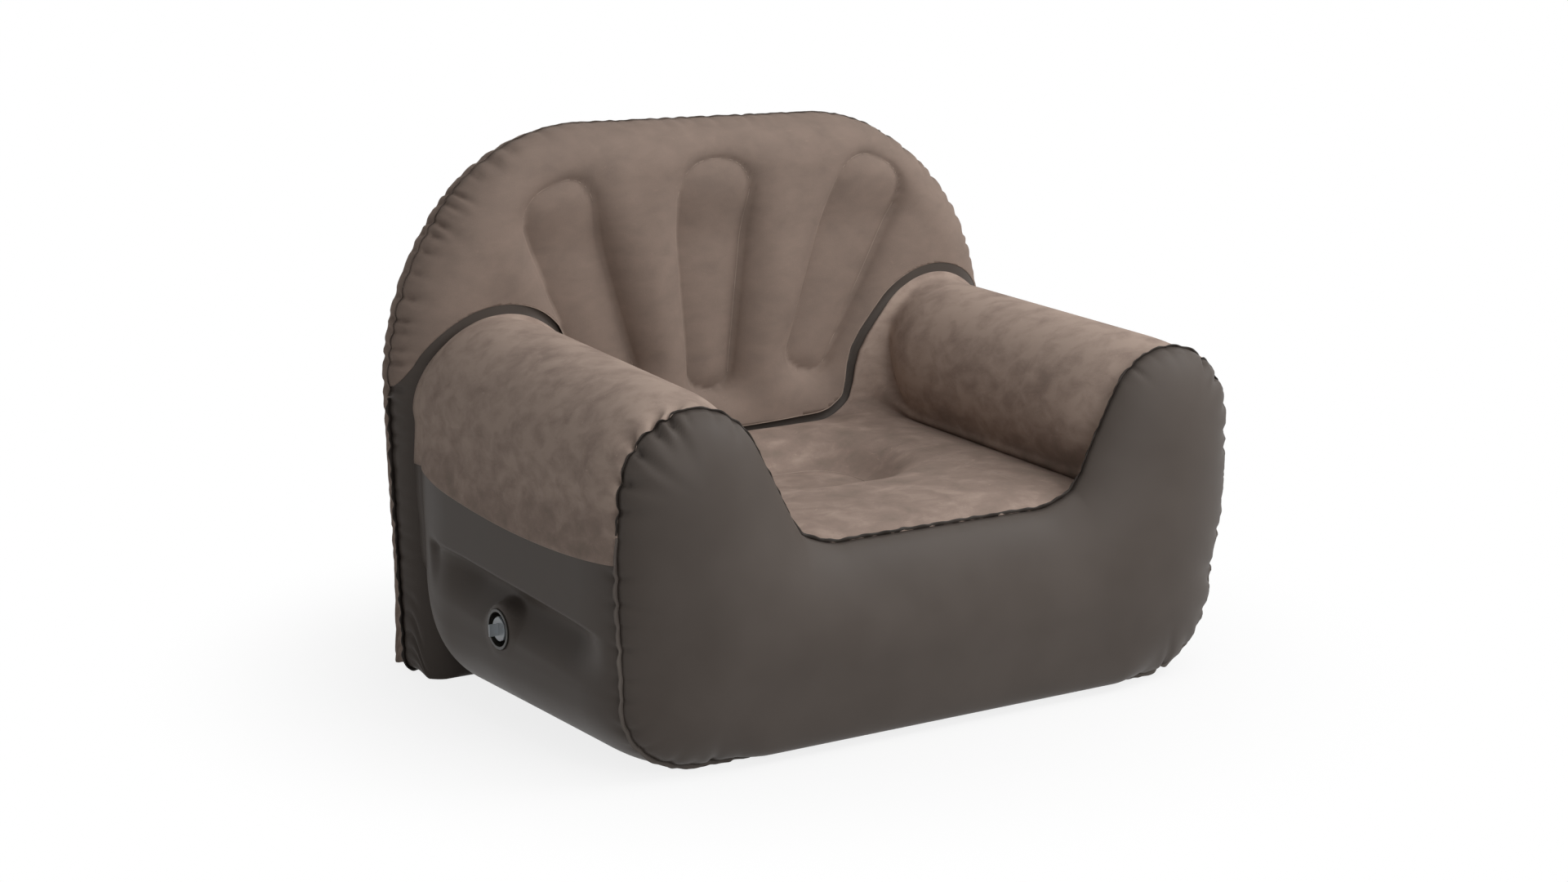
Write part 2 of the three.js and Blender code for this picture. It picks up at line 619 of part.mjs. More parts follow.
const frontRise = (x, z) =>
  islandDip(x, z) - BACK_FRONT_BULGE * roundEdge(edgeDistance(x, z, backRing), BACK_EDGE_ROLL);
const rearRise = (x, z) =>
  BACK_REAR_BULGE * roundEdge(edgeDistance(x, z, backRing), BACK_REAR_ROLL) - islandDip(x, z);
const backFront = finnedGrid(backGrid, BACK_SEAM_Y, frontRise);
const backNormals = pointNormals(backFront);

// The flocked sheet's lower edge follows the arms and the seat at the width of the bare strip. The
// body above a line beside that edge cuts the flocked sheet from the lower one.
const rearHalf = rearSection.slice(0, ARM_START + STRIP_ARM_STEPS + 1);
const rearOut = ringNormals(rearSection);
function aboveLine(distance) {
  const far = BACK_SHOULDER_X + CUT_OVERRUN;
  const half = rearHalf.map((p, k) => ({
    x: p.x + (k ? rearOut[k].x : 0) * distance, z: p.z + rearOut[k].z * distance,
  }));
  const last = FLOCK_CORNER_Z + distance - STRIP_WIDTH;
  half.push({ x: sideX(last), z: last }, { x: far, z: last }, { x: far, z: BACK_TOP_Z + far });
  const outline = mirrored(half).map((p) => new THREE.Vector2(p.x, p.z));
  const body = new THREE.ExtrudeGeometry(
    new THREE.Shape(outline), { depth: 2 * far, bevelEnabled: false, steps: 1 });
  body.rotateX(Math.PI / 2);
  body.translate(0, BACK_SEAM_Y + far, 0);
  return solidOf(body);
}
const backSheet = (inside, outside) =>
  solidOf(sheetBody(backFront, backNormals, backFront.faces, inside, outside));
add("backrest_flock_panel",
  geometryOf(backSheet(0, FLOCKED_SHEET).intersect(aboveLine(STRIP_WIDTH))), materials.flock);

// The lower sheet is the wall between the two air cells, with two ports that let the air through
let lowerPanel = backSheet(-GAP - SHEET, -GAP).subtract(aboveLine(STRIP_WIDTH + LAP));
for (const side of [-1, 1]) {
  const port = new THREE.CylinderGeometry(PORT.radius, PORT.radius, 2 * CUT_OVERRUN, PORT.segments);
  port.translate(side * PORT.x, REAR_SEAM_Y, PORT.z);
  lowerPanel = lowerPanel.subtract(solidOf(port));
}
add("backrest_lower_panel", geometryOf(lowerPanel), materials.sheet);

const backRear = finnedGrid(
  backGrid.map((row) => row.slice().reverse()), BACK_SEAM_Y + SHEET + 2 * GAP, rearRise);
const rearNormals = pointNormals(backRear);
add("backrest_back_panel",
  sheetBody(backRear, rearNormals, backRear.faces, 0, FLOCKED_SHEET),
  materials.flock);

// The wrapped panels end on the lower sheet of the backrest
const behind = vec(0, BACK_SEAM_Y - REAR_SEAM_Y + CUT_OVERRUN, 0);
const backTrim = trimBody(backFront, backNormals, backFront.faces, 0, behind, true);
for (const [name, [faces, inside, outside, finish]] of Object.entries(wrapPanels)) {
  let panel = solidOf(sheetBody(wrap, wrapNormals, faces, inside, outside)).subtract(backTrim);
  if (name === "right_side_panel") {
    const radius = VALVE.lipRadius + GAP;
    const hole = new THREE.CylinderGeometry(radius, radius, CUT_OVERRUN, VALVE.segments);
    hole.rotateZ(Math.PI / 2);
    hole.translate(-VALVE_FACE_X, VALVE_Y, VALVE_Z);
    panel = panel.subtract(solidOf(hole));
  }
  add(name, geometryOf(panel), materials[finish]);
}

// Beams inside the arms, from the crease beside the seat to the groove in the side
function armBeam(name, crease, groove) {
  const surface = { points: [], faces: [] };
  const first = rows.indexOf(depthLow);
  const last = rows.indexOf(depthHigh);
  for (let j = first; j <= last; j++) {
    const from = wrapRings[j][crease];
    const to = wrapRings[j][groove];
    const along = to.clone().sub(from).normalize();
    surface.points.push(
      from.clone().addScaledVector(along, 2 * GAP),
      to.clone().addScaledVector(along, -SHEET - 3 * GAP));
  }
  for (let j = 0; j < last - first; j++)
    addQuad(surface, 2 * j, 2 * j + 1, 2 * j + 3, 2 * j + 2);
  add(name, sheetBody(surface, pointNormals(surface), surface.faces, -SHEET / 2, SHEET / 2),
    materials.inner);
}
armBeam("left_arm_beam", CREASE, GROOVE);
armBeam("right_arm_beam", ROUND - CREASE, ROUND - GROOVE);

// Outline of a weld island between two circles, drawn in by a margin
function islandShape(low, high, side, margin) {
  const a = new THREE.Vector2(side * low.x, low.z);
  const b = new THREE.Vector2(side * high.x, high.z);
  const axis = b.clone().sub(a);
  const lean = Math.asin((high.radius - low.radius) / axis.length());
  const heading = axis.angle();
  const shape = [];
  const half = SLEEVE_STEPS / 2;
  for (let k = 0; k <= half; k++) {
    const angle = heading - Math.PI / 2 - lean + (k / half) * (Math.PI + 2 * lean);
    const r = high.radius - margin;
    shape.push(new THREE.Vector2(b.x + r * Math.cos(angle), b.y + r * Math.sin(angle)));
  }
  for (let k = 0; k <= half; k++) {
    const angle = heading + Math.PI / 2 + lean + (k / half) * (Math.PI - 2 * lean);
    const r = low.radius - margin;
    shape.push(new THREE.Vector2(a.x + r * Math.cos(angle), a.y + r * Math.sin(angle)));
  }
  return shape;
}
function sleeveTube(outline, length) {
  const shape = new THREE.Shape(outline(0));
  shape.holes.push(new THREE.Path(outline(SHEET)));
  return new THREE.ExtrudeGeometry(shape, { depth: length, bevelEnabled: false, steps: 1 });
}

// Sleeves that tie the islands in the front of the backrest to its back
const frontOfBack = trimBody(backFront, backNormals, backFront.faces, -GAP,
  vec(0, -CUT_OVERRUN - BACK_FRONT_BULGE, 0));
const backOfBack = trimBody(backRear, rearNormals, backRear.faces, -GAP,
  vec(0, CUT_OVERRUN + BACK_REAR_BULGE, 0));
for (const { name, low, high, side } of islands) {
  const tube = sleeveTube((margin) => islandShape(low, high, side, margin),
    BACK_FRONT_BULGE + BACK_REAR_BULGE + 2 * GAP);
  tube.rotateX(Math.PI / 2);
  tube.translate(0, BACK_SEAM_Y + BACK_REAR_BULGE + GAP, 0);
  add(name, geometryOf(solidOf(tube).subtract(frontOfBack).subtract(backOfBack)), materials.inner);
}

// Sleeve that ties the island in the seat to the base
{
  const i = SEAT_ISLAND;
  const end = (side) => ({ x: side * (i.halfLength - i.halfWidth), z: i.y, radius: i.halfWidth });
  const tube = sleeveTube((margin) => islandShape(end(-1), end(1), 1, margin), BODY_REAR.seatZ);
  tube.translate(0, 0, SHEET + GAP);
  const above = trimBody(wrap, wrapNormals, stripsBetween(-CREASE, CREASE), -GAP,
    vec(0, 0, BODY_REAR.seatZ));
  add("seat_tension_sleeve", geometryOf(solidOf(tube).subtract(above)), materials.inner);
}

// Valve, built round its own axis: in this group +Y points out of the chair and +X points up
const valve = new THREE.Group();
valve.position.set(-VALVE_FACE_X, VALVE_Y, VALVE_Z);
valve.setRotationFromMatrix(
  new THREE.Matrix4().makeBasis(vec(0, 0, 1), vec(-1, 0, 0), vec(0, -1, 0)));
chair.add(valve);
const revolve = (profile) =>
  new THREE.LatheGeometry(profile.map(([r, h]) => new THREE.Vector2(r, h)), VALVE.segments);
const closedProfile = (points) => [...points, points[0]].reverse();
const discTop = -GAP - SHEET - GAP;
const floorTop = -VALVE.wellDepth;
const floorLow = floorTop - VALVE.wall;
const neckLow = floorTop - VALVE.neckDepth;
const edge = VALVE.wall / 3;
add("valve_flange", revolve(closedProfile([
  [VALVE.neckRadius, neckLow], [VALVE.neckRadius, floorTop], [VALVE.wellRadius, floorTop],
  [VALVE.wellRadius, VALVE.lipHeight - edge], [VALVE.wellRadius + edge, VALVE.lipHeight],
  [VALVE.lipRadius - edge, VALVE.lipHeight], [VALVE.lipRadius, VALVE.lipHeight - edge],
  [VALVE.lipRadius, discTop], [VALVE.discRadius, discTop],
  [VALVE.discRadius, discTop - VALVE.discThick],
  [VALVE.wellRadius + VALVE.wall, discTop - VALVE.discThick],
  [VALVE.wellRadius + VALVE.wall, floorLow], [VALVE.neckRadius + VALVE.wall, floorLow],
  [VALVE.neckRadius + VALVE.wall, neckLow],
])), materials.socket, valve);

const sealLow = floorTop + GAP;
const stemRadius = VALVE.neckRadius - GAP;
add("valve_seal_ring", revolve(closedProfile([
  [stemRadius + GAP, sealLow], [stemRadius + GAP, sealLow + SEAL.thick],
  [stemRadius + GAP + SEAL.width, sealLow + SEAL.thick], [stemRadius + GAP + SEAL.width, sealLow],
])), materials.seal, valve);

// Insert: stem in the neck, shoulder on the seal, three finger grips and the cap's hinge ear
const shoulderLow = sealLow + SEAL.thick + GAP;
const shoulderTop = shoulderLow + INSERT.shoulderThick;
const stemTop = shoulderTop + INSERT.stemRise;
const stemLow = neckLow - INSERT.innerReach;
let insert = solidOf(revolve(closedProfile([
  [INSERT.boreRadius, stemLow], [INSERT.boreRadius, stemTop], [stemRadius, stemTop],
  [stemRadius, shoulderTop], [INSERT.shoulderRadius - edge, shoulderTop],
  [INSERT.shoulderRadius, shoulderTop - edge], [INSERT.shoulderRadius, shoulderLow],
  [stemRadius, shoulderLow], [stemRadius, stemLow],
])));
for (let k = 0; k < INSERT.grips; k++) {
  const angle = ((k + 1 / 2) / INSERT.grips) * 2 * Math.PI;
  const reach = INSERT.shoulderRadius - INSERT.boreRadius - 2 * edge;
  const grip = new THREE.BoxGeometry(reach, INSERT.gripRise, INSERT.gripThick);
  grip.translate(INSERT.boreRadius + edge + reach / 2, shoulderTop + INSERT.gripRise / 2 - edge, 0);
  grip.rotateY(angle);
  insert = insert.add(solidOf(grip));
}
const hingeX = CAP.radius + INSERT.earThick / 2;
const earStart = (INSERT.boreRadius + stemRadius) / 2;
const ear = new THREE.BoxGeometry(hingeX - earStart, INSERT.earThick, INSERT.earWidth);
ear.translate((hingeX + earStart) / 2, stemTop - INSERT.earThick / 2, 0);
insert = insert.add(solidOf(ear));
add("valve_insert", geometryOf(insert), materials.clear, valve);

// Cap: disc on the stem, plug skirt in the bore, pull tab outside
const capLow = stemTop + GAP;
const capTop = capLow + CAP.thick;
const skirtRadius = INSERT.boreRadius - CAP.skirtClearance;
let cap = solidOf(revolve([
  [0, capTop], [CAP.radius - edge, capTop], [CAP.radius, capTop - edge], [CAP.radius, capLow],
  [skirtRadius, capLow], [skirtRadius, capLow - CAP.skirtDepth],
  [skirtRadius - CAP.skirtWall, capLow - CAP.skirtDepth], [skirtRadius - CAP.skirtWall, capLow],
  [0, capLow],
].reverse()));
const tab = new THREE.BoxGeometry(CAP.tabHeight, CAP.tabLength, CAP.tabThick);
tab.translate(0, capTop + CAP.tabLength / 2 - edge, 0);
cap = cap.add(solidOf(tab));
const strap = new THREE.BoxGeometry(hingeX - CAP.radius / 2, CAP.thick, INSERT.earWidth);
strap.translate((hingeX + CAP.radius / 2) / 2, capLow + CAP.thick / 2, 0);
cap = cap.add(solidOf(strap));
add("valve_cap", geometryOf(cap), materials.clear, valve);

// One-way flap behind the stem
const flapTop = stemLow - GAP;
const flapDisc = new THREE.CylinderGeometry(FLAP.radius, FLAP.radius, FLAP.thick, VALVE.segments);
flapDisc.translate(0, flapTop - FLAP.thick / 2, 0);
add("valve_check_flap", flapDisc, materials.seal, valve);

export default chair;
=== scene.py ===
"""Inflatable armchair: blown-up skins of flocked and plain PVC film, and a screw-in air valve.

Each skin is made again here, finer than its solid, from the same sections, outlines and welded
islands. What the solids leave out is added: the pleats that the film gathers at its welds, the
wavy weld fins, the cut edge of the flocked film, the raised edges of the islands, the slump of the
film on the floor and the small differences between the two arms. Lengths are in millimetres until
a mesh is made. The front faces -Y, and +Z is up.
"""
import math

import bpy
import numpy as np
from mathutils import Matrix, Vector


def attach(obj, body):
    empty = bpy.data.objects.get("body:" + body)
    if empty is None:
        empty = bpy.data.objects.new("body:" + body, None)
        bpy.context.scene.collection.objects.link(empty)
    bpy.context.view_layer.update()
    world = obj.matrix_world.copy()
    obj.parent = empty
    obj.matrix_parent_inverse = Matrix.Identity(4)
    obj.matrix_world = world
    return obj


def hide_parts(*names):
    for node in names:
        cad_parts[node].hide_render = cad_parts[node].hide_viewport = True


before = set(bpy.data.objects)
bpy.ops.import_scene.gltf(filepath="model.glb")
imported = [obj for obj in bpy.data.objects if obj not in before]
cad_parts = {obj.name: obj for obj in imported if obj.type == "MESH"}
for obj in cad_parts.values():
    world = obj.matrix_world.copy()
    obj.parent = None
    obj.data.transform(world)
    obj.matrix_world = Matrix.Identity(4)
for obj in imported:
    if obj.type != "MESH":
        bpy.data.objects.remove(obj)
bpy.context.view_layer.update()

MM = 0.001

# Camera at the photograph's viewing angle
CAMERA_AT = (-2546, -3751, 1302)
AIM_AT = (-48.8, -53.0, 350.2)
FOCAL_MM, SENSOR_MM = 72.12, 36
FAR_M = 100


def look_at(thing, at, aim):
    direction = Vector(aim) - Vector(at)
    thing.location = Vector(at) * MM
    thing.rotation_euler = direction.to_track_quat("-Z", "Y").to_euler()


camera = bpy.data.objects.new("camera", bpy.data.cameras.new("camera"))
camera.data.lens = FOCAL_MM
camera.data.sensor_width = SENSOR_MM
camera.data.clip_end = FAR_M
bpy.context.collection.objects.link(camera)
look_at(camera, CAMERA_AT, AIM_AT)
bpy.context.scene.camera = camera
bpy.context.scene.view_settings.view_transform = "Standard"


# Materials
def linear(code):
    """sRGB hex to a linear colour."""
    parts = [int(code[k:k + 2], 16) / 255 for k in (1, 3, 5)]
    return [c / 12.92 if c <= 0.04045 else ((c + 0.055) / 1.055) ** 2.4 for c in parts] + [1.0]


def add_node(tree, kind, settings=None, stops=None, **inputs):
    """A shader node with its settings, the (place, hex) stops of its ramp, and its inputs. An input
    is a value, or (node, output) to link from."""
    node = tree.nodes.new("ShaderNode" + kind)
    for name, value in (settings or {}).items():
        setattr(node, name, value)
    for k, (place, code) in enumerate(stops or []):
        elements = node.color_ramp.elements
        stop = elements[k] if k < len(elements) else elements.new(place)
        stop.position = place
        stop.color = linear(code)
    for name, value in inputs.items():
        socket = node.inputs[int(name[1:])] if name[0] == "_" else node.inputs[name.replace("_", " ")]
        if isinstance(value, tuple) and isinstance(value[0], bpy.types.Node):
            tree.links.new(value[0].outputs[value[1]], socket)
        else:
            socket.default_value = value
    return node


def new_material(name):
    material = bpy.data.materials.new(name)
    material.use_nodes = True
    tree = material.node_tree
    tree.nodes.clear()
    return material, tree


# The flocked film is painted lighter between these two heights: painted light on the arms
PAINTED_LIGHT_FROM_M, PAINTED_LIGHT_TO_M = 0.31, 0.38  # height of the seat, and where the arms rise from it


def flocked_film(name, dark, middle, light, rub, painted_light=0.0):
    """PVC film with electrostatic nylon flock: dull, with brushed patches where the pile lies
    another way, and a pale bloom where it is seen along the surface. Above the height of the seat
    it is lighter by its last argument: painted light that stands in for the light on the arms' sides."""
    material, tree = new_material(name)
    place = add_node(tree, "TexCoord")
    # broad patches, about 90 mm
    broad = add_node(tree, "TexNoise", Vector=(place, "Object"), Scale=11.0, Detail=3.0,
                     Roughness=0.55, Distortion=0.6)
    # brush marks, about 45 mm long and 25 mm high
    stretch = add_node(tree, "Mapping", Vector=(place, "Object"), Scale=(22.0, 28.0, 40.0),
                       Rotation=(0.2, 0.35, 0.3))
    marks = add_node(tree, "TexNoise", Vector=(stretch, "Vector"), Scale=1.0, Detail=4.0,
                     Roughness=0.55, Distortion=0.35)
    # thin scuffs, about 60 mm long and 3 mm wide
    turned = add_node(tree, "Mapping", Vector=(place, "Object"), Scale=(18.0, 30.0, 75.0),
                      Rotation=(0.5, 0.9, 0.2))
    scuffs = add_node(tree, "TexNoise", Vector=(turned, "Vector"), Scale=1.6, Detail=6.0,
                      Roughness=0.7, Distortion=2.2)
    scuff = add_node(tree, "MapRange", Value=(scuffs, "Fac"), From_Min=0.62, From_Max=0.78,
                     To_Min=0.0, To_Max=rub * 0.55)
    # pile grain, drawn at 1.4 mm where the real fibres stand 0.3 mm apart
    grain = add_node(tree, "TexNoise", Vector=(place, "Object"), Scale=700.0, Detail=2.0,
                     Roughness=0.6)
    centred = add_node(tree, "Math", {"operation": "SUBTRACT"}, _0=(marks, "Fac"), _1=0.5)
    mark = add_node(tree, "Math", {"operation": "MULTIPLY_ADD"}, _0=(centred, "Value"),
                    _1=rub, _2=(scuff, "Result"))
    patch_tone = add_node(tree, "Math", {"operation": "MULTIPLY_ADD"}, _0=(broad, "Fac"),
                          _1=0.5, _2=(mark, "Value"))
    height = add_node(tree, "SeparateXYZ", Vector=(place, "Object"))
    # painted light: the flock above the seat's height is made lighter, for light on the arms' sides
    painted_arm_light = add_node(tree, "MapRange", Value=(height, "Z"), From_Min=PAINTED_LIGHT_FROM_M,
                      From_Max=PAINTED_LIGHT_TO_M, To_Min=0.0, To_Max=painted_light)
    upright = add_node(tree, "Math", {"operation": "ADD"}, _0=(patch_tone, "Value"),
                       _1=(painted_arm_light, "Result"))
    tone_with_painted_light = add_node(tree, "Math", {"operation": "MULTIPLY_ADD"}, _0=(grain, "Fac"), _1=0.16,
                   _2=(upright, "Value"))
    colour = add_node(tree, "ValToRGB", stops=[(0.1, dark), (0.35, middle), (0.62, light)],
                      Fac=(tone_with_painted_light, "Value"))
    bump = add_node(tree, "Bump", Strength=0.3, Distance=0.0006, Height=(grain, "Fac"))
    shader = add_node(tree, "BsdfPrincipled", Base_Color=(colour, "Color"), Roughness=0.92,
                      Sheen_Weight=0.16, Sheen_Roughness=0.4, Sheen_Tint=linear("#cbb8ab"),
                      Specular_IOR_Level=0.15, Normal=(bump, "Normal"))
    add_node(tree, "OutputMaterial", Surface=(shader, "BSDF"))
    return material


def plain_film(name, dark, light, roughness):
    """Calendered PVC film: smooth and satin, with a soft broad gloss and a faint leathery grain."""
    material, tree = new_material(name)
    place = add_node(tree, "TexCoord")
    # slow drift of tone over about 110 mm
    broad = add_node(tree, "TexNoise", Vector=(place, "Object"), Scale=9.0, Detail=2.0)
    # embossed grain, drawn at 1.2 mm where the real one is 0.4 mm
    grain = add_node(tree, "TexNoise", Vector=(place, "Object"), Scale=850.0, Detail=2.0)
    colour = add_node(tree, "ValToRGB", stops=[(0.35, dark), (0.65, light)],
                      Fac=(broad, "Fac"))
    gloss = add_node(tree, "MapRange", Value=(broad, "Fac"), From_Min=0.3, From_Max=0.7,
                     To_Min=roughness - 0.03, To_Max=roughness + 0.04)
    bump = add_node(tree, "Bump", Strength=0.1, Distance=0.0003, Height=(grain, "Fac"))
    shader = add_node(tree, "BsdfPrincipled", Base_Color=(colour, "Color"),
                      Roughness=(gloss, "Result"), Specular_IOR_Level=0.12, Normal=(bump, "Normal"))
    add_node(tree, "OutputMaterial", Surface=(shader, "BSDF"))
    return material


def moulded_plastic(name, code, roughness, clear=0.0):
    """Injection-moulded plastic with a fine spark-eroded texture, see-through where it is natural."""
    material, tree = new_material(name)
    place = add_node(tree, "TexCoord")
    # mould texture, 0.7 mm
    grain = add_node(tree, "TexNoise", Vector=(place, "Object"), Scale=1400.0, Detail=2.0)
    tone = add_node(tree, "MapRange", Value=(grain, "Fac"), To_Min=0.92, To_Max=1.06)
    colour = add_node(tree, "VectorMath", {"operation": "SCALE"}, _0=linear(code)[:3],
                      Scale=(tone, "Result"))
    bump = add_node(tree, "Bump", Strength=0.15, Distance=0.0002, Height=(grain, "Fac"))
    shader = add_node(tree, "BsdfPrincipled", Base_Color=(colour, "Vector"),
                      Roughness=roughness, IOR=1.5, Transmission_Weight=clear,
                      Normal=(bump, "Normal"))
    add_node(tree, "OutputMaterial", Surface=(shader, "BSDF"))
    return material


# The arms' flock carries painted light, lighter above the seat; its brush marks and scuffs are real wear
ARM_FLOCK = flocked_film("flocked_pvc_film_rubbed_arms_painted_lighter", "#7c6e64", "#8b7a70", "#a29084", 0.9, 0.2)
BACK_FLOCK = flocked_film("flocked_pvc_film_smooth", "#776960", "#837369", "#8e7d72", 0.5)
# paler than the other flock: partly the pile pressed flat at the welds, partly a painted highlight along
# the raised lines
EDGE_FLOCK = flocked_film("flocked_pvc_film_at_welds_painted_highlight", "#85766c", "#96867b", "#a5958a", 0.6)
FILM = plain_film("satin_pvc_film", "#4b443f", "#504944", 0.5)
WELD = plain_film("welded_pvc_edge", "#2b2622", "#37312d", 0.4)
PALE_WELD = plain_film("stretched_pvc_edge", "#57504b", "#645d57", 0.45)
# painted shade: the flocked edge along the top of the backrest is drawn dark brown for the shade along
# that weld
SHADED_TOP_WELD = plain_film("welded_flocked_edge_painted_shade", "#463d37", "#584d46", 0.6)
INNER = plain_film("inner_pvc_film", "#54504a", "#5c5751", 0.5)
SOCKET = moulded_plastic("black_polypropylene", "#26241f", 0.4)
CLEAR = moulded_plastic("natural_polyethylene", "#b9bec2", 0.28, 0.55)
SEAL = moulded_plastic("pale_silicone_rubber", "#d8d6cf", 0.55)
# The films' thicknesses
FLOCK_THICK, FILM_THICK, BASE_THICK = 0.9, 0.5, 0.4


# Sections of the base air cell: insets from the widest half width, heights and angles
HALF_WIDTH = 530
FRONT_SEAM_Y, REAR_SEAM_Y, BACK_SEAM_Y = -365, 194, 260
FRONT_SEAM = dict(
    seat_z=280, ridge=352, ridge_z=280, slope_sag=-4, crease=294, crease_z=303, wall_bulge=0,
    arm=124, arm_z=378, arm_radius=112, arm_in=150, arm_out=-6, side=10, flock_edge_z=296,
    waist=15, waist_z=195, lower=18, corner_z=110, base=135, bottom_z=7)
BODY_FRONT = dict(
    seat_z=300, ridge=334, ridge_z=299, slope_sag=5, crease=215, crease_z=284, wall_bulge=5,
    arm=122, arm_z=377, arm_radius=121, arm_in=212, arm_out=-12, side=0, flock_edge_z=297,
    waist=0, waist_z=196, lower=1, corner_z=105, base=134, bottom_z=0.5)
BODY_REAR = dict(
    seat_z=326, ridge=330, ridge_z=320, slope_sag=5, crease=222, crease_z=315, wall_bulge=5,
    arm=128, arm_z=412, arm_radius=121, arm_in=212, arm_out=-12, side=2, flock_edge_z=325,
    waist=2, waist_z=233, lower=3, corner_z=105, base=134, bottom_z=0.5)
REAR_SEAM = dict(
    seat_z=304, ridge=340, ridge_z=311, slope_sag=-7, crease=280, crease_z=340, wall_bulge=12,
    arm=140, arm_z=405, arm_radius=124, arm_in=140, arm_out=-10, side=15, flock_edge_z=324,
    waist=22, waist_z=236, lower=23, corner_z=200, base=115, bottom_z=110)
# What differs between the arm at +X and the arm at -X
LEFT = dict(
    front_seam=dict(lower=33, waist=24, side=12, corner_z=145, base=155), body_front=dict(arm_z=370),
    body_rear=dict(arm_z=395),
    rear_seam=dict(arm=122, arm_radius=121, arm_outer=107, crease=287, crease_z=343, wall_bulge=15))
RIGHT = dict(
    front_seam=dict(lower=16, waist=13, side=9, corner_z=104),
    body_front=dict(arm_z=379, base=118), body_rear=dict(arm_z=421, base=166),
    rear_seam=dict(arm=158, arm_radius=127, arm_outer=137, side=22, waist=26, lower=27))
FRONT_ROLL, REAR_ROLL, ROLL_POWER = 88, 104, 0.62  # how far and how fully the skins roll in
SEAT_ISLAND = dict(y=-26, half_length=104, half_width=72, depth=46, spread=50, crown=8)
FLOCK_SAG, LAP = 20, 12
# The groove along the side: the height of its lip at the front and the rear, how its profile runs
# down from the lip, and the places along Y where it starts, gets shallower and ends
GROOVE = dict(depth=31, front_z=192, rear_z=234, lip=4, lip_round=13, hollow=36, floor=24, fade=56,
              start=-343, start_fade=110, shallow=0.75, shallow_from=20, shallow_over=110, end=126,
              end_fade=30)
DIMPLE = dict(depth=5, y=138, below=9, half_length=11, half_height=10)
# Where the stations lie along the seat, the lower side and the base
SEAT_SHARES, SIDE_SHARES, BASE_SHARES = (0, 0.27, 0.52, 0.77, 1), (0.8, 0.6, 0.4, 0.2, 0), (0.8, 0.4, 0)
ARM_STEPS, CORNER_STEPS = 14, 6
FINE_STEP, SIDE_STEP, BASE_STEP = 6, 3, 30
VALVE_AT = (-529, -60, 143)
VALVE_HOLE, VALVE_FLAT, VALVE_EASE = 28.8, 33, 11


def lerp(a, b, t):
    return a + (b - a) * t


def smooth(t):
    """From 0 to 1 with level ends."""
    t = np.clip(t, 0, 1)
    return t * t * (3 - 2 * t)


def round_edge(distance, reach):
    """From 0 to 1 along a quarter of an ellipse."""
    return np.sqrt(1 - (1 - np.clip(distance / reach, 0, 1)) ** 2)


def rearward(y):
    """Share of the way from the front seam to the rear seam."""
    return (y - FRONT_SEAM_Y) / (REAR_SEAM_Y - FRONT_SEAM_Y)


def step_lengths(line):
    """Lengths between the neighbouring points of an open line."""
    return np.hypot(*np.diff(line, axis=0).T)


def sums_from_0(values):
    """Sums of the values up to each place."""
    return np.concatenate([[0], np.cumsum(values)])


def unit(vectors):
    """Vectors drawn to a length of 1."""
    return vectors / np.maximum(1e-9, np.linalg.norm(vectors, axis=1))[:, None]


def at_depth(flat, y):
    """Points (x, y, z) from flat points (x, z) and their place along Y."""
    return np.stack([flat[:, 0], np.broadcast_to(y, len(flat)), flat[:, 1]], axis=-1)


def half_section(p):
    """Stations (x, z) from the middle of the seat over the arm to the middle of the base, and the
    numbers of those that matter."""
    x = {name: HALF_WIDTH - p[name] for name in
         ("ridge", "crease", "arm", "side", "waist", "lower", "base")}
    points, mark = [], {}
    for s in SEAT_SHARES:
        points.append((x["ridge"] * s, lerp(p["seat_z"], p["ridge_z"], s * s)))
    mark["ridge"] = len(points) - 1
    points.append(((x["ridge"] + x["crease"]) / 2, (p["ridge_z"] + p["crease_z"]) / 2 + p["slope_sag"]))
    mark["crease"] = len(points)
    points.append((x["crease"], p["crease_z"]))
    angles = np.radians(np.linspace(p["arm_in"], p["arm_out"], ARM_STEPS + 1))
    outer = p.get("arm_outer", p["arm_radius"])
    arm = [(x["arm"] + (outer if a < math.pi / 2 else p["arm_radius"]) * math.cos(a),
            p["arm_z"] + p["arm_radius"] * math.sin(a)) for a in angles]
    points.append(((x["crease"] + arm[0][0]) / 2 - p["wall_bulge"], (p["crease_z"] + arm[0][1]) / 2))
    mark["arm_start"] = len(points)
    points += arm
    mark["arm_end"] = len(points) - 1
    points.append((x["side"], p["flock_edge_z"] + LAP))
    mark["flock_edge"] = len(points)
    points.append((x["side"], p["flock_edge_z"]))
    points.append((lerp(x["waist"], x["side"], 2 / 3), lerp(p["waist_z"], p["flock_edge_z"], 0.45)))
    mark["waist"] = len(points)
    points.append((x["waist"], p["waist_z"]))
    for share in SIDE_SHARES:
        points.append((lerp(x["lower"], x["waist"], share * share),
                       lerp(p["corner_z"], p["waist_z"], share)))
    mark["corner_top"] = len(points) - 1
    for k in range(1, CORNER_STEPS + 1):
        a = k / CORNER_STEPS * math.pi / 2
        points.append((x["base"] + (x["lower"] - x["base"]) * math.cos(a),
                       p["bottom_z"] + (p["corner_z"] - p["bottom_z"]) * (1 - math.sin(a))))
    mark["base_start"] = len(points) - 1
    for s in BASE_SHARES:
        points.append((x["base"] * s, p["bottom_z"]))
    return np.array(points, float), mark


MARK = half_section(BODY_FRONT)[1]
STATIONS = len(half_section(BODY_FRONT)[0])


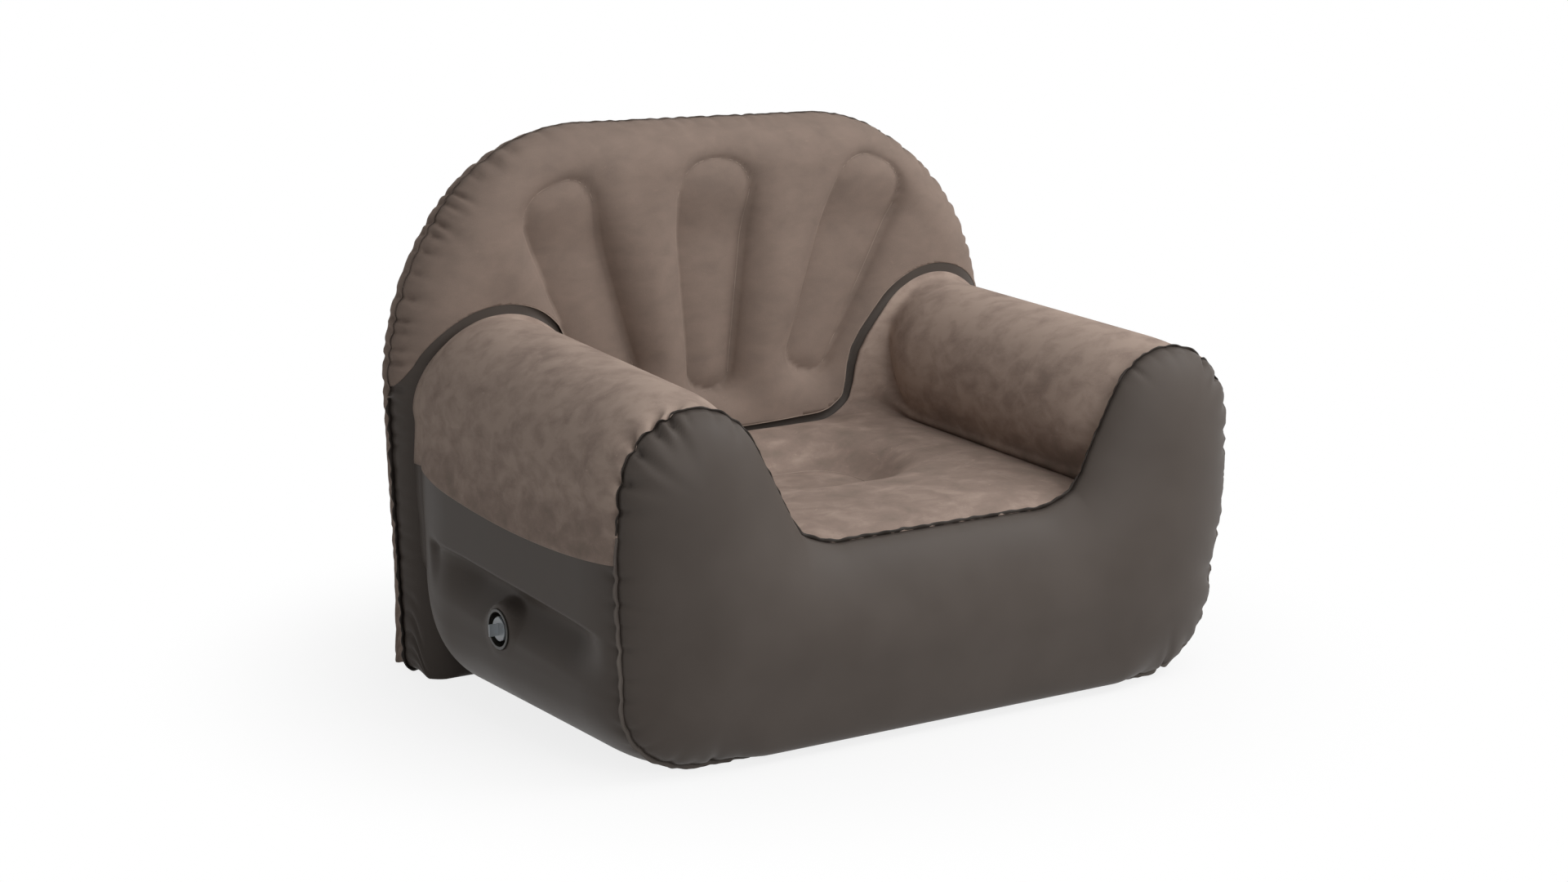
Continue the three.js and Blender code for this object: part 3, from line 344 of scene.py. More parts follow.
def fine_counts():
    """Pieces that each stretch between two stations is divided into: shortest in the side, for the
    groove, and longest in the base."""
    points = half_section(BODY_FRONT)[0]
    k = np.arange(STATIONS - 1)
    step = np.where(k >= MARK["base_start"], BASE_STEP, FINE_STEP)
    step = np.where((k >= MARK["flock_edge"]) & (k < MARK["corner_top"]), SIDE_STEP, step)
    return np.maximum(2, np.ceil(step_lengths(points) / step)).astype(int)


COUNTS = fine_counts()
FINE_AT = sums_from_0(COUNTS)  # fine number of each station
FINE = FINE_AT[-1]


def smooth_line(points, corners):
    """Fine points on a curve through stations, with the curve broken at the corners."""
    knots = sums_from_0(np.maximum(1e-6, step_lengths(points)))
    n = len(points)
    slope_in, slope_out = np.zeros_like(points), np.zeros_like(points)
    for k in range(n):
        a, b = max(0, k - 1), min(n - 1, k + 1)
        both = (points[b] - points[a]) / (knots[b] - knots[a])
        slope_in[k] = slope_out[k] = both
        if k in corners:
            slope_in[k] = (points[k] - points[a]) / (knots[k] - knots[a])
            slope_out[k] = (points[b] - points[k]) / (knots[b] - knots[k])
    slope_out[0, 1] = 0
    slope_in[-1, 1] = 0
    made = [points[:1]]
    for k in range(n - 1):
        t = np.linspace(0, 1, COUNTS[k] + 1)[1:, None]
        h = knots[k + 1] - knots[k]
        between = lerp(points[k], points[k + 1], 3 * t ** 2 - 2 * t ** 3)
        out, into = (t ** 3 - 2 * t ** 2 + t) * h, (t ** 3 - t ** 2) * h
        made.append(between + out * slope_out[k] + into * slope_in[k + 1])
    return np.concatenate(made)


def whole_ring(section, name, corners=()):
    """Closed ring: the half at +X, then the half at -X back to the middle of the seat."""
    left = smooth_line(half_section({**section, **LEFT[name]})[0], corners)
    right = smooth_line(half_section({**section, **RIGHT[name]})[0], corners)
    middle = (left[-1] + right[-1]) / 2
    left[-1] = middle
    return np.concatenate([left, right[-2:0:-1] * [-1, 1]])


RING = 2 * FINE  # fine points round a section
BODY_CORNERS = (MARK["ridge"], MARK["crease"])
front_ring = whole_ring(FRONT_SEAM, "front_seam")
rear_ring = whole_ring(REAR_SEAM, "rear_seam")
body_front = whole_ring(BODY_FRONT, "body_front", BODY_CORNERS)
body_rear = whole_ring(BODY_REAR, "body_rear", BODY_CORNERS)


def round_ring(half_values):
    """Values at the stations of one half, spread over the fine points of the whole ring."""
    fine = np.interp(np.arange(FINE + 1), FINE_AT, half_values)
    return np.concatenate([fine, fine[-2:0:-1]])


station = np.arange(STATIONS)
is_seat = round_ring(station <= MARK["crease"]) > 0.999
hang_share = round_ring((station == MARK["flock_edge"]) | (station == MARK["flock_edge"] - 1))
is_side = round_ring((station >= MARK["flock_edge"]) & (station <= MARK["base_start"])) > 0.999


def swell(u):
    """Share of the full section that is reached at a share of the roll from a weld."""
    return (1 - (1 - np.clip(u, 0, 1)) ** 2) ** ROLL_POWER


def seat_drop(x, y):
    """Depth of the seat's hollow: lowest on the weld of its island, with a crown inside it."""
    i = SEAT_ISLAND
    straight = i["half_length"] - i["half_width"]
    away = np.hypot(np.maximum(np.abs(x) - straight, 0), y - i["y"]) - i["half_width"]
    inside = i["depth"] - i["crown"] * (1 - (1 + np.minimum(away, 0) / i["half_width"]) ** 2)
    return np.where(away < 0, inside, i["depth"] * np.exp(-(np.maximum(away, 0) / i["spread"]) ** 2))


def groove_depth(y, z):
    """Depth of the crease that the inner web pulls into the side: a lip above, easy below and
    shallower to the rear, with a dimple at its rear end."""
    g, d = GROOVE, DIMPLE
    below = lerp(g["front_z"], g["rear_z"], rearward(y)) - z
    inward = smooth((below + g["lip"]) / g["lip_round"]) * round_edge(below + g["lip"], g["hollow"])
    across = inward * (1 - smooth((below - g["floor"]) / g["fade"]))
    starts = smooth((y - g["start"]) / g["start_fade"])
    shallows = 1 - g["shallow"] * smooth((y - g["shallow_from"]) / g["shallow_over"])
    ends = 1 - smooth((y - g["end"]) / g["end_fade"])
    dimple = d["depth"] * np.exp(-((y - d["y"]) / d["half_length"]) ** 2
                                 - ((below - d["below"]) / d["half_height"]) ** 2)
    return g["depth"] * across * starts * shallows * ends + dimple


def section_at(y):
    """Ring of points (x, z) of the base cell at a depth."""
    along = min(1, rearward(y))
    body = lerp(body_front, body_rear, along)
    seam = front_ring if along < 0.5 else rear_ring
    share = 0 if y >= REAR_SEAM_Y else float(min(swell((y - FRONT_SEAM_Y) / FRONT_ROLL),
                                                 swell((REAR_SEAM_Y - y) / REAR_ROLL)))
    ring = lerp(seam, body, share)
    ring[is_seat, 1] -= seat_drop(ring[is_seat, 0], y) * share
    ring[:, 1] -= hang_share * FLOCK_SAG * 4 * along * (1 - along)
    ring[is_side, 0] -= np.sign(ring[is_side, 0]) * groove_depth(y, ring[is_side, 1])
    return ring


def seat_height(x, y):
    """Height of the seat at a place."""
    ring = section_at(y)
    last = FINE_AT[MARK["crease"]]
    line = np.concatenate([ring[-last:], ring[:last + 1]])
    return float(np.interp(x, line[:, 0], line[:, 1]))


def ring_out(ring):
    """Outward directions of a closed ring that runs clockwise from the front."""
    d = unit(np.roll(ring, -1, axis=0) - np.roll(ring, 1, axis=0))
    return np.stack([-d[:, 1], d[:, 0]], axis=1)


def ring_lengths(ring):
    """Lengths along a closed ring up to each point, and its whole length."""
    return sums_from_0(step_lengths(np.concatenate([ring, ring[:1]])))


# Pleats along a weld
class Pleats:
    """Gathers along a closed weld: where they are, how deep, how wide and how far they run in."""
    # Ranges drawn from: shares of the spacing, the depth and the reach, widths, and leans
    SPACING, STRENGTH, REACH = (0.62, 1.45), (0.35, 1.0), (0.6, 1.5)
    WIDTH, LEAN = (3.6, 6.5), (-0.35, 0.35)
    DRAWN_IN, DRAWN_REACH = 0.75, 9  # how far the weld follows its notches, and the skin beside it
    WIDEN, FADE_POWER, START, START_OVER = 26, 1.5, 0.35, 6  # how a gather runs in from the weld
    RIDGE = 0.55  # height of the ridges beside the valley
    PINCH, PINCH_REACH, PINCH_HALF, PINCH_START = 0.7, 5.5, 2.8, 1.5
    NOTCH_WIDTH = 1.25  # of a notch, against its gather

    def __init__(self, ring, weight, spacing, depth, reach, seed):
        draw = np.random.default_rng(seed)
        self.ring = ring
        self.lengths = ring_lengths(ring)
        self.total = self.lengths[-1]
        places = []
        s = draw.uniform(0, spacing)
        while s < self.total - spacing * 0.4:
            places.append(s)
            s += spacing * draw.uniform(*self.SPACING)
        self.at = np.array(places)
        n = len(places)
        strength = draw.uniform(*self.STRENGTH, n) * weight(*self.spread(ring, self.at).T)
        self.depth = depth * strength
        self.width = draw.uniform(*self.WIDTH, n)
        self.reach = reach * draw.uniform(*self.REACH, n) * (0.5 + 0.5 * strength)
        self.lean = draw.uniform(*self.LEAN, n)

    def spread(self, values, s):
        """Values (x, z) of the ring's points at places s along the weld."""
        return np.stack([np.interp(s, self.lengths[:-1], values[:, k], period=self.total)
                         for k in (0, 1)], axis=-1)

    def shortest(self, gap):
        """Gaps along the weld, taken the short way round."""
        return (gap + self.total / 2) % self.total - self.total / 2

    def dent(self, s, d):
        """Depth of the gathers at a place s along the weld and a distance d in from it: a valley
        between two low ridges, which fades inwards, and a sharp pinch at the weld."""
        made = np.zeros_like(s)
        for at, depth, width, reach, lean in zip(self.at, self.depth, self.width, self.reach, self.lean):
            gap = self.shortest(s - at - lean * d)
            w = width * (1 + d / self.WIDEN)
            near = np.abs(gap) < 4 * w
            u = gap[near] / w[near]
            fade = np.exp(-(d[near] / reach) ** self.FADE_POWER)
            fade = fade * np.minimum(1, self.START + d[near] / self.START_OVER)
            made[near] += depth * fade * ((1 - self.RIDGE * u * u) * np.exp(-u * u / 2))
            pinch = np.exp(-(d[near] / self.PINCH_REACH) ** 2 - (gap[near] / self.PINCH_HALF) ** 2)
            made[near] += self.PINCH * depth * pinch * np.minimum(1, d[near] / self.PINCH_START)
        return made

    def notch(self, s):
        """How far the weld itself is drawn in at each gather."""
        made = np.zeros_like(s)
        for at, depth, width in zip(self.at, self.depth, self.width):
            made += depth * np.exp(-(self.shortest(s - at) / (self.NOTCH_WIDTH * width)) ** 2)
        return made

    def drawn_in(self, flat, along, distance, out):
        """Flat points with their weld drawn in at the pleats."""
        pull = self.notch(along) * self.DRAWN_IN * np.exp(-distance / self.DRAWN_REACH)
        return flat - self.spread(out, along) * pull[:, None]


# Meshes
def make_piece(name, points, faces, material, node=None, thick=0.0):
    """A smooth mesh that rides on the chair, with the film's thickness if one is given."""
    mesh = bpy.data.meshes.new(name)
    mesh.from_pydata((np.asarray(points) * MM).tolist(), [], [list(map(int, f)) for f in faces])
    mesh.validate()
    mesh.materials.append(material)
    mesh.polygons.foreach_set("use_smooth", [True] * len(mesh.polygons))
    piece = bpy.data.objects.new(name, mesh)
    bpy.context.collection.objects.link(piece)
    if thick:
        shell = piece.modifiers.new("film thickness", "SOLIDIFY")
        shell.thickness = thick * MM
        shell.offset = -1
        shell.use_even_offset = False
    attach(piece, "chair")
    if node:
        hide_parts(node)
    return piece


def point_normals(points, faces):
    """Directions out of a mesh at its points, from the diagonals of its faces."""
    normals = np.zeros_like(points)
    f = np.array([(q[0], q[1], q[2], q[-1]) for q in faces])
    n = np.cross(points[f[:, 2]] - points[f[:, 0]], points[f[:, 3]] - points[f[:, 1]])
    for k in range(4):
        np.add.at(normals, f[:, k], n)
    return unit(normals)


def grid_faces(rows, columns, closed=False):
    """Four-sided faces of a grid numbered row by row, turned towards -Y for rows that rise."""
    j, i = np.meshgrid(np.arange(rows - 1), np.arange(columns if closed else columns - 1), indexing="ij")
    a, b = j * columns + i, j * columns + (i + 1) % columns
    return np.stack([a, b, b + columns, a + columns], axis=-1).reshape(-1, 4).tolist()


def clipped(points, faces, values):
    """The part of a mesh where values are 0 or more, cut along the line where they are 0."""
    points, values = list(points), list(values)
    made, cuts = [], {}
    for face in faces:
        signs = [values[k] >= 0 for k in face]
        if all(signs):
            made.append(list(face))
            continue
        if not any(signs):
            continue
        kept = []
        for a, b in zip(face, list(face[1:]) + [face[0]]):
            if values[a] >= 0:
                kept.append(a)
            if (values[a] >= 0) != (values[b] >= 0):
                key = (min(a, b), max(a, b))
                if key not in cuts:
                    t = values[key[0]] / (values[key[0]] - values[key[1]])
                    cuts[key] = len(points)
                    points.append(points[key[0]] + (points[key[1]] - points[key[0]]) * t)
                    values.append(0.0)
                kept.append(cuts[key])
        if len(kept) > 2:
            made.append(kept)
    return packed(np.array(points), made)


def packed(points, faces):
    """Only the points that the faces use."""
    used = sorted({k for f in faces for k in f})
    number = {k: n for n, k in enumerate(used)}
    return points[used], [[number[k] for k in f] for f in faces]


def swept(name, rings, closed, material):
    """A solid strip through rings of points, closed on itself or capped at its ends."""
    count, around = rings.shape[:2]
    faces = []
    for j in range(count if closed else count - 1):
        a, b = j * around, (j + 1) % count * around
        for i in range(around):
            n = (i + 1) % around
            faces.append([a + i, b + i, b + n, a + n])
    if not closed:
        faces.append(list(range(around)))
        faces.append([(count - 1) * around + i for i in range(around - 1, -1, -1)])
    make_piece(name, rings.reshape(-1, 3), faces, material)


# Raised lines of flocked film, width and height
ISLAND_WELD, SEAT_WELD, SEAT_FOLD, CUT_EDGE = (3.0, 1.6), (2.6, 1.3), (2.2, 0.9), (2.0, 0.9)
CUT_RISE = 0.7  # of the cut edge from the plain sheet
LINE_SINK, LINE_TAPER, LINE_END = 0.4, 0.25, 0.06  # the taper is a share of the length


def raised_line(name, path, normals, width, height, closed):
    """A half-round line along a path on a skin, sunk a little and thinner at open ends."""
    along = np.roll(path, -1, axis=0) - np.roll(path, 1, axis=0)
    if not closed:
        along[0], along[-1] = path[1] - path[0], path[-1] - path[-2]
    side = unit(np.cross(along, normals))
    taper = np.ones(len(path))
    if not closed:
        t = np.linspace(0, 1, len(path))
        taper = lerp(LINE_END, 1, smooth(t / LINE_TAPER) * smooth((1 - t) / LINE_TAPER))
    rings = []
    for angle in np.radians([0, 36, 72, 108, 144, 180]):
        across = side * (width / 2 * math.cos(angle) * taper)[:, None]
        rings.append(path + across + normals * (height * math.sin(angle) * taper - LINE_SINK)[:, None])
    swept(name, np.stack(rings, axis=1), closed, EDGE_FLOCK)


# Distances to a closed outline
AT_ONCE = 2000  # points, to spare memory
CLOSEST = 0.003  # that a point counts as to an edge


def outline_distance(points, ring):
    """Distance of each point to a closed outline, and the length along it to the nearest place."""
    a, b = ring, np.roll(ring, -1, axis=0)
    d = b - a
    square = (d * d).sum(axis=1)
    start = ring_lengths(ring)[:-1]
    best = np.full(len(points), np.inf)
    at = np.zeros(len(points))
    for first in range(0, len(points), AT_ONCE):
        p = points[first:first + AT_ONCE, None, :]
        t = np.clip(((p - a) * d).sum(axis=2) / square, 0, 1)
        away = np.linalg.norm(p - a - t[..., None] * d, axis=2)
        k = away.argmin(axis=1)
        row = np.arange(len(k))
        best[first:first + AT_ONCE] = away[row, k]
        at[first:first + AT_ONCE] = start[k] + t[row, k] * np.sqrt(square[k])
    return best, at


def free_reach(points, ring):
    """Free distance inside a ring: as from one long edge, and less where edges lie all round."""
    a, b = ring, np.roll(ring, -1, axis=0)
    length = np.hypot(*(b - a).T)
    u = (b - a) / length[:, None]
    made = np.zeros(len(points))
    for first in range(0, len(points), AT_ONCE):
        p = points[first:first + AT_ONCE, None, :]
        start = ((a - p) * u).sum(axis=2)
        end = start + length
        h = np.abs((a[:, 0] - p[..., 0]) * u[:, 1] - (a[:, 1] - p[..., 1]) * u[:, 0])
        h = np.maximum(h, CLOSEST)
        total = ((end / np.hypot(h, end) - start / np.hypot(h, start)) / (h * h)).sum(axis=1)
        made[first:first + AT_ONCE] = np.sqrt(2 / total)
    return made


# Backrest outline and islands
BACK_TOP_Z, BACK_TOP_HALF = 789, 205
BACK_TILT, TILT_FROM_Z, TILT_OVER = 0.021, 600, 150
SHOULDER_X, SHOULDER_Z, FOOT_X, FOOT_RADIUS, BACK_BOTTOM_Z = 527, 425, 511, 16, 6.8
FRONT_BULGE, REAR_BULGE, EDGE_ROLL, REAR_EDGE_ROLL = 66, 92, 72, 105
STRIP_WIDTH, FLOCK_CORNER_Z = 15, 418
STRIP_ARM, STRIP_PAST = 10, 60  # stations of the arm along the strip, and its run past the side
ISLANDS = {
    "middle": ((0, 414), 40, (3, 668), 65), "left": ((185, 425), 41, (283, 655), 64),
    "right": ((-179, 430), 46, (-262, 657), 60)}
ISLAND_DEPTH, ISLAND_REACH, ISLAND_CROWN = 38, 62, 8
ISLAND_TOP_DEPTH, ISLAND_TOP_FROM_Z, ISLAND_TOP_OVER = 0.4, 600, 115
ISLAND_SQUARE, ISLAND_EASE = 2.5, 1.12  # how square the ends are, and how steep the slope is
FAN_Z, CORNER_ANGLE = 352, 35
FAN_SHARES = [0, 0.057, 0.13, 0.217, 0.288, 0.358, 0.46, 0.58, 0.7, 0.81, 0.9, 0.965, 1]
TOP_SHARES = [0, 0.132, 0.31, 0.487, 0.63, 0.794, 0.84, 0.875, 0.905, 0.935, 0.96, 0.985, 1]
FOOT_FLAT, FOOT_HIGH, FOOT_FORWARD, FOOT_DROP = 22, 150, 13, 5.6
FOOT_EDGE, FOOT_SIDE = 10, 13  # reach of the slump from the weld and from the side
# Columns for each share, and rows below and above the height of the fan
GRID_COLUMNS, GRID_LOW_ROWS, GRID_HIGH_ROWS = 12, 61, 96
CROWD_LOW, CROWD_HIGH = 1.25, 1.2  # how much the rows crowd towards the floor and the top
CORNER_SHARES = 3  # the last shares of the lowest row lie round its corner


def side_x(z):
    """Half width of the backrest below its shoulder."""
    foot = BACK_BOTTOM_Z + FOOT_RADIUS
    return lerp(FOOT_X, SHOULDER_X, (z - foot) / (SHOULDER_Z - foot))


def shoulder(angle):
    """Points (x, z) round the shoulder of the backrest."""
    a = np.radians(angle)
    return np.stack([BACK_TOP_HALF + (SHOULDER_X - BACK_TOP_HALF) * np.cos(a),
                     SHOULDER_Z + (BACK_TOP_Z - SHOULDER_Z) * np.sin(a)], axis=-1)


def pick(line, shares):
    """Points at shares of a line's length."""
    lengths = sums_from_0(step_lengths(line))
    target = np.asarray(shares) * lengths[-1]
    return np.stack([np.interp(target, lengths, line[:, k]) for k in (0, 1)], axis=-1)


def both_halves(left, right=None):
    """A line from the end of the half at -X over the middle to the end of the half at +X. A right
    half that isn't given mirrors the left one."""
    right = left if right is None else right
    return np.concatenate([right[:0:-1] * [-1, 1], left])


def patch(bottom, top, low_x, high_x, shares_v):
    """Grid of points between four edges, rows from bottom to top."""
    u = np.linspace(0, 1, len(bottom))[None, :, None]
    v = np.asarray(shares_v)[:, None, None]
    corners = lerp(lerp(bottom[0], bottom[-1], u), lerp(top[0], top[-1], u), v)
    return lerp(low_x[:, None], high_x[:, None], u) + lerp(bottom, top, v) - corners


def backrest_grid():
    """Fine grid (x, z) over the backrest, with columns that lean along the islands."""
    coarse = np.arange(len(FAN_SHARES))
    fine = np.linspace(0, coarse[-1], GRID_COLUMNS * coarse[-1] + 1)
    fan = np.interp(fine, coarse, FAN_SHARES)
    top = np.interp(fine, coarse, TOP_SHARES)
    straight = coarse[-1] - CORNER_SHARES
    angle = np.clip(fine - straight, 0, None) / CORNER_SHARES * np.pi / 2
    bottom = np.stack([
        np.where(fine <= straight, fine / straight * (FOOT_X - FOOT_RADIUS),
                 FOOT_X - FOOT_RADIUS * (1 - np.sin(angle))),
        BACK_BOTTOM_Z + FOOT_RADIUS * (1 - np.cos(angle))], axis=-1)
    fan_line = np.stack([fan * side_x(FAN_Z), np.full(len(fan), float(FAN_Z))], axis=-1)
    side_line = np.concatenate([[(side_x(FAN_Z), FAN_Z)], shoulder(np.linspace(0, CORNER_ANGLE, 60))])
    top_line = np.concatenate([[(0, BACK_TOP_Z)], shoulder(np.linspace(90, CORNER_ANGLE, 90))])
    low_v = np.linspace(0, 1, GRID_LOW_ROWS) ** CROWD_LOW
    high_v = 1 - (1 - np.linspace(0, 1, GRID_HIGH_ROWS)) ** CROWD_HIGH
    low_side = pick(np.array([bottom[-1], fan_line[-1]]), low_v)
    high_side = pick(side_line, high_v)
    flip = [-1, 1]
    middle_row, top_row = both_halves(fan_line), both_halves(pick(top_line, top))
    low = patch(both_halves(bottom), middle_row, low_side * flip, low_side, low_v)
    high = patch(middle_row, top_row, high_side * flip, high_side, high_v)
    grid = np.concatenate([low, high[1:]])
    grid[..., 1] -= BACK_TILT * grid[..., 0] * smooth((grid[..., 1] - TILT_FROM_Z) / TILT_OVER)
    return grid


def grid_edge(rows, columns):
    """Numbers of a grid's edge points, anticlockwise from the front."""
    return (list(range(columns)) + [j * columns + columns - 1 for j in range(1, rows)]
            + [(rows - 1) * columns + i for i in range(columns - 2, -1, -1)]
            + [j * columns for j in range(rows - 2, 0, -1)])


back_grid = backrest_grid()
BACK_ROWS, BACK_COLUMNS = back_grid.shape[:2]
back_flat = back_grid.reshape(-1, 2)
back_ring = back_flat[grid_edge(BACK_ROWS, BACK_COLUMNS)]


def island_away(x, z, low, low_radius, high, high_radius):
    """Distance out from an island's weld, less than 0 inside it, and the radius beside it."""
    dx, dz = high[0] - low[0], high[1] - low[1]
    axis = math.hypot(dx, dz)
    rise = ((x - low[0]) * dx + (z - low[1]) * dz) / axis
    t = np.clip(rise / axis, 0, 1)
    beyond = np.abs(rise - t * axis)
    beside = np.abs((x - low[0]) * dz - (z - low[1]) * dx) / axis
    radius = lerp(low_radius, high_radius, t)
    k = ISLAND_SQUARE
    return (beyond ** k + beside ** k) ** (1 / k) - radius, radius


def island_line(low, low_radius, high, high_radius, steps):
    """Closed outline of an island between its two circles."""
    up = np.subtract(high, low) / math.hypot(high[0] - low[0], high[1] - low[1])
    side = np.array([up[1], -up[0]])
    points = []
    for centre, radius, way in ((high, high_radius, 1), (low, low_radius, -1)):
        angle = np.linspace(0, math.pi, steps)
        c, s = np.cos(angle), np.sin(angle)
        across = way * radius * np.sign(c) * np.abs(c) ** (2 / ISLAND_SQUARE)
        beyond = way * radius * s ** (2 / ISLAND_SQUARE)
        points.append(np.array(centre) + across[:, None] * side + beyond[:, None] * up)
    line = np.concatenate(points + [points[0][:1]])
    return pick(line, np.linspace(0, 1, steps + 1)[:-1])


def island_dip(x, z):
    """Depth of the sheet below its crest: on the weld round an island, and less away from it."""
    rise = np.ones_like(x)
    crown = np.zeros_like(x)
    for low, low_radius, high, high_radius in ISLANDS.values():
        away, radius = island_away(x, z, low, low_radius, high, high_radius)
        rise *= round_edge(np.maximum(away, 0), ISLAND_REACH) ** ISLAND_EASE
        crown += np.where(away < 0, ISLAND_CROWN * (1 - (1 + away / radius) ** 2), 0)
    shallow = lerp(1, ISLAND_TOP_DEPTH, smooth((z - ISLAND_TOP_FROM_Z) / ISLAND_TOP_OVER))
    return ISLAND_DEPTH * shallow * (1 - rise) - crown


def front_depth(x, z, distance):
    """Place along Y of the backrest's front skin, at a distance in from its weld."""
    return BACK_SEAM_Y + island_dip(x, z) - FRONT_BULGE * round_edge(distance, EDGE_ROLL)


def rear_depth(x, z, distance):
    """Place along Y of the backrest's back skin."""
    return BACK_SEAM_Y + REAR_BULGE * round_edge(distance, REAR_EDGE_ROLL) - island_dip(x, z)


# Backrest skins
def back_weight(x, z):
    """Hardly gathered along the top, most round the shoulders, and less below the arms."""
    return np.where(z > 765, 0.35, np.where(z > 380, 1.0, 0.6))


back_pleats = Pleats(back_ring, back_weight, spacing=27, depth=4.6, reach=15, seed=11)
back_distance, back_along = outline_distance(back_flat, back_ring)
back_out = -ring_out(back_ring)


def slumped(flat, distance):
    """Flat points with the foot of the cell slumped on the floor, and how far each one is part
    of the foot."""
    x, z = flat.T
    height = z - BACK_BOTTOM_Z
    low = 1 - smooth((height - FOOT_FLAT) / (FOOT_HIGH - FOOT_FLAT))
    share = low * smooth(distance / FOOT_EDGE) * smooth((side_x(z) - np.abs(x)) / FOOT_SIDE)
    drop = np.maximum(0, (height + FOOT_DROP) * share)
    return np.stack([x, z - drop], axis=-1), share


def backrest_skin(side):
    """Points, faces and outward directions of the front (side -1) or the back (side 1) skin of
    the backrest."""
    x, z = back_flat.T
    flat = back_pleats.drawn_in(back_flat, back_along, back_distance, back_out)
    flat, foot = slumped(flat, back_distance)
    y = (front_depth if side < 0 else rear_depth)(x, z, back_distance) + side * FOOT_FORWARD * foot
    points = at_depth(flat, y)
    faces = grid_faces(BACK_ROWS, BACK_COLUMNS)
    if side > 0:
        faces = [f[::-1] for f in faces]
    normals = point_normals(points, faces)
    dent = back_pleats.dent(back_along, back_distance) * (back_distance > 0.5)
    return points - normals * dent[:, None], faces, normals


def polyline_height(points, line):
    """Signed distance of points to an open line, more than 0 above it."""
    a, b = line[:-1], line[1:]
    d = b - a
    p = points[:, None, :]
    t = np.clip(((p - a) * d).sum(axis=2) / (d * d).sum(axis=1), 0, 1)
    gap = p - a - t[..., None] * d
    away = np.linalg.norm(gap, axis=2)
    k = away.argmin(axis=1)
    row = np.arange(len(k))
    cross = d[k, 0] * gap[row, k, 1] - d[k, 1] * gap[row, k, 0]
    return away[row, k] * np.sign(cross)


def strip_line():
    """The edge that the arms and the seat make on the backrest, from the side at -X to that at +X."""
    last = FINE_AT[MARK["arm_start"] + STRIP_ARM]
    corner = FLOCK_CORNER_Z - STRIP_WIDTH
    ends = [(side_x(corner), corner), (side_x(corner) + STRIP_PAST, corner)]
    left = np.concatenate([rear_ring[:last + 1], ends])
    right = np.concatenate([rear_ring[[-k for k in range(last + 1)]] * [-1, 1], ends])
    return both_halves(left, right)


strip = strip_line()
above = polyline_height(back_flat, strip)
skin, skin_faces, skin_normals = backrest_skin(-1)
points, faces = clipped(skin + skin_normals * FLOCK_THICK, skin_faces, above - STRIP_WIDTH)
back_flock = make_piece("backrest_flock_skin", points, faces, BACK_FLOCK, "backrest_flock_panel",
                        FLOCK_THICK)
# The bare film is drawn in between the two cells behind the seat
SUNK, SUNK_ABOVE, SUNK_HALF, SUNK_TO_X, SUNK_FADE = 13, 7, 8, 230, 130
behind_seat = 1 - smooth((np.abs(back_flat[:, 0]) - SUNK_TO_X) / SUNK_FADE)
sunk = SUNK * np.exp(-((above - SUNK_ABOVE) / SUNK_HALF) ** 2) * behind_seat
points, faces = clipped(skin + sunk[:, None] * [0, 1, 0], skin_faces, STRIP_WIDTH + LAP - above)
make_piece("backrest_lower_skin", points, faces, FILM, "backrest_lower_panel", FILM_THICK)
skin, skin_faces, skin_normals = backrest_skin(1)
back_skin = make_piece("backrest_back_skin", skin, skin_faces, BACK_FLOCK, "backrest_back_panel",
                       FLOCK_THICK)


def on_backrest(line, side, rise):
    """Points on a backrest skin along a line (x, z), lifted by a rise, and the normals there."""
    depth = front_depth if side < 0 else rear_depth
    y, beside, higher = (depth(*place.T, outline_distance(place, back_ring)[0])
                         for place in (line, line + (1, 0), line + (0, 1)))
    normals = unit(np.stack([y - beside, np.ones(len(y)), y - higher], axis=-1) * side)
    return at_depth(line, y) + normals * rise, normals


# Raised welds round the islands of the backrest, on its front and its back
FRONT_RISE, BACK_RISE = 1.7, 0.8
for name, island in ISLANDS.items():
    for side, where, rise in ((-1, "front", FRONT_RISE), (1, "back", BACK_RISE)):
        path, normals = on_backrest(island_line(*island, 160), side, rise)
        raised_line(f"{name}_island_weld_{where}", path, normals, *ISLAND_WELD, True)


LINE_SLACK = 0.35


def offset_line(line, distance):
    """A line beside another, on its upper side, without the doubled points at inner corners."""
    d = unit(np.gradient(line, axis=0))
    moved = line + np.stack([-d[:, 1], d[:, 0]], axis=-1) * distance
    return moved[np.abs(polyline_height(moved, line)) > distance - LINE_SLACK]


def even_line(line, step):
    """A line with its points about one step apart."""
    return pick(line, np.linspace(0, 1, max(3, int(step_lengths(line).sum() / step))))


# Cut edge of the flocked sheet above the bare strip
line = even_line(offset_line(even_line(strip, 4), STRIP_WIDTH), 5)
inside = np.abs(line[:, 0]) < side_x(line[:, 1]) - 3
path, normals = on_backrest(line[inside], -1, CUT_RISE)
raised_line("backrest_flock_cut_edge", path, normals, *CUT_EDGE, False)

# Welded edges that stand out from a seam
FIN_STEP = 3
FIN_WAVES = (95, 61, 43, 31, 24, 17)  # wavelengths, of which the fourth also ruffles the edge
FIN_WAVES_HIGH = 2.4  # usual height of the waves together
FIN_RINGS = ((-0.25, 0.5, 0), (0.55, 0.5, 0.5), (1, 0.35, 1))  # share out, half thickness, bend
FIN_RUFFLE, FIN_GATHER, FIN_PULL = 0.14, 0.06, 0.35  # how notches and waves change a fin
UPPER_WIDTH, LOWER_WIDTH = 2.6, 5.6  # of the backrest's fins
UPPER_WAVE, LOWER_WAVE, FRONT_WAVE = 1.2, 1.6, 1.3
LOWEST_FIN_Z, LOWEST_Z = 0.9, 0.8  # clear of the floor


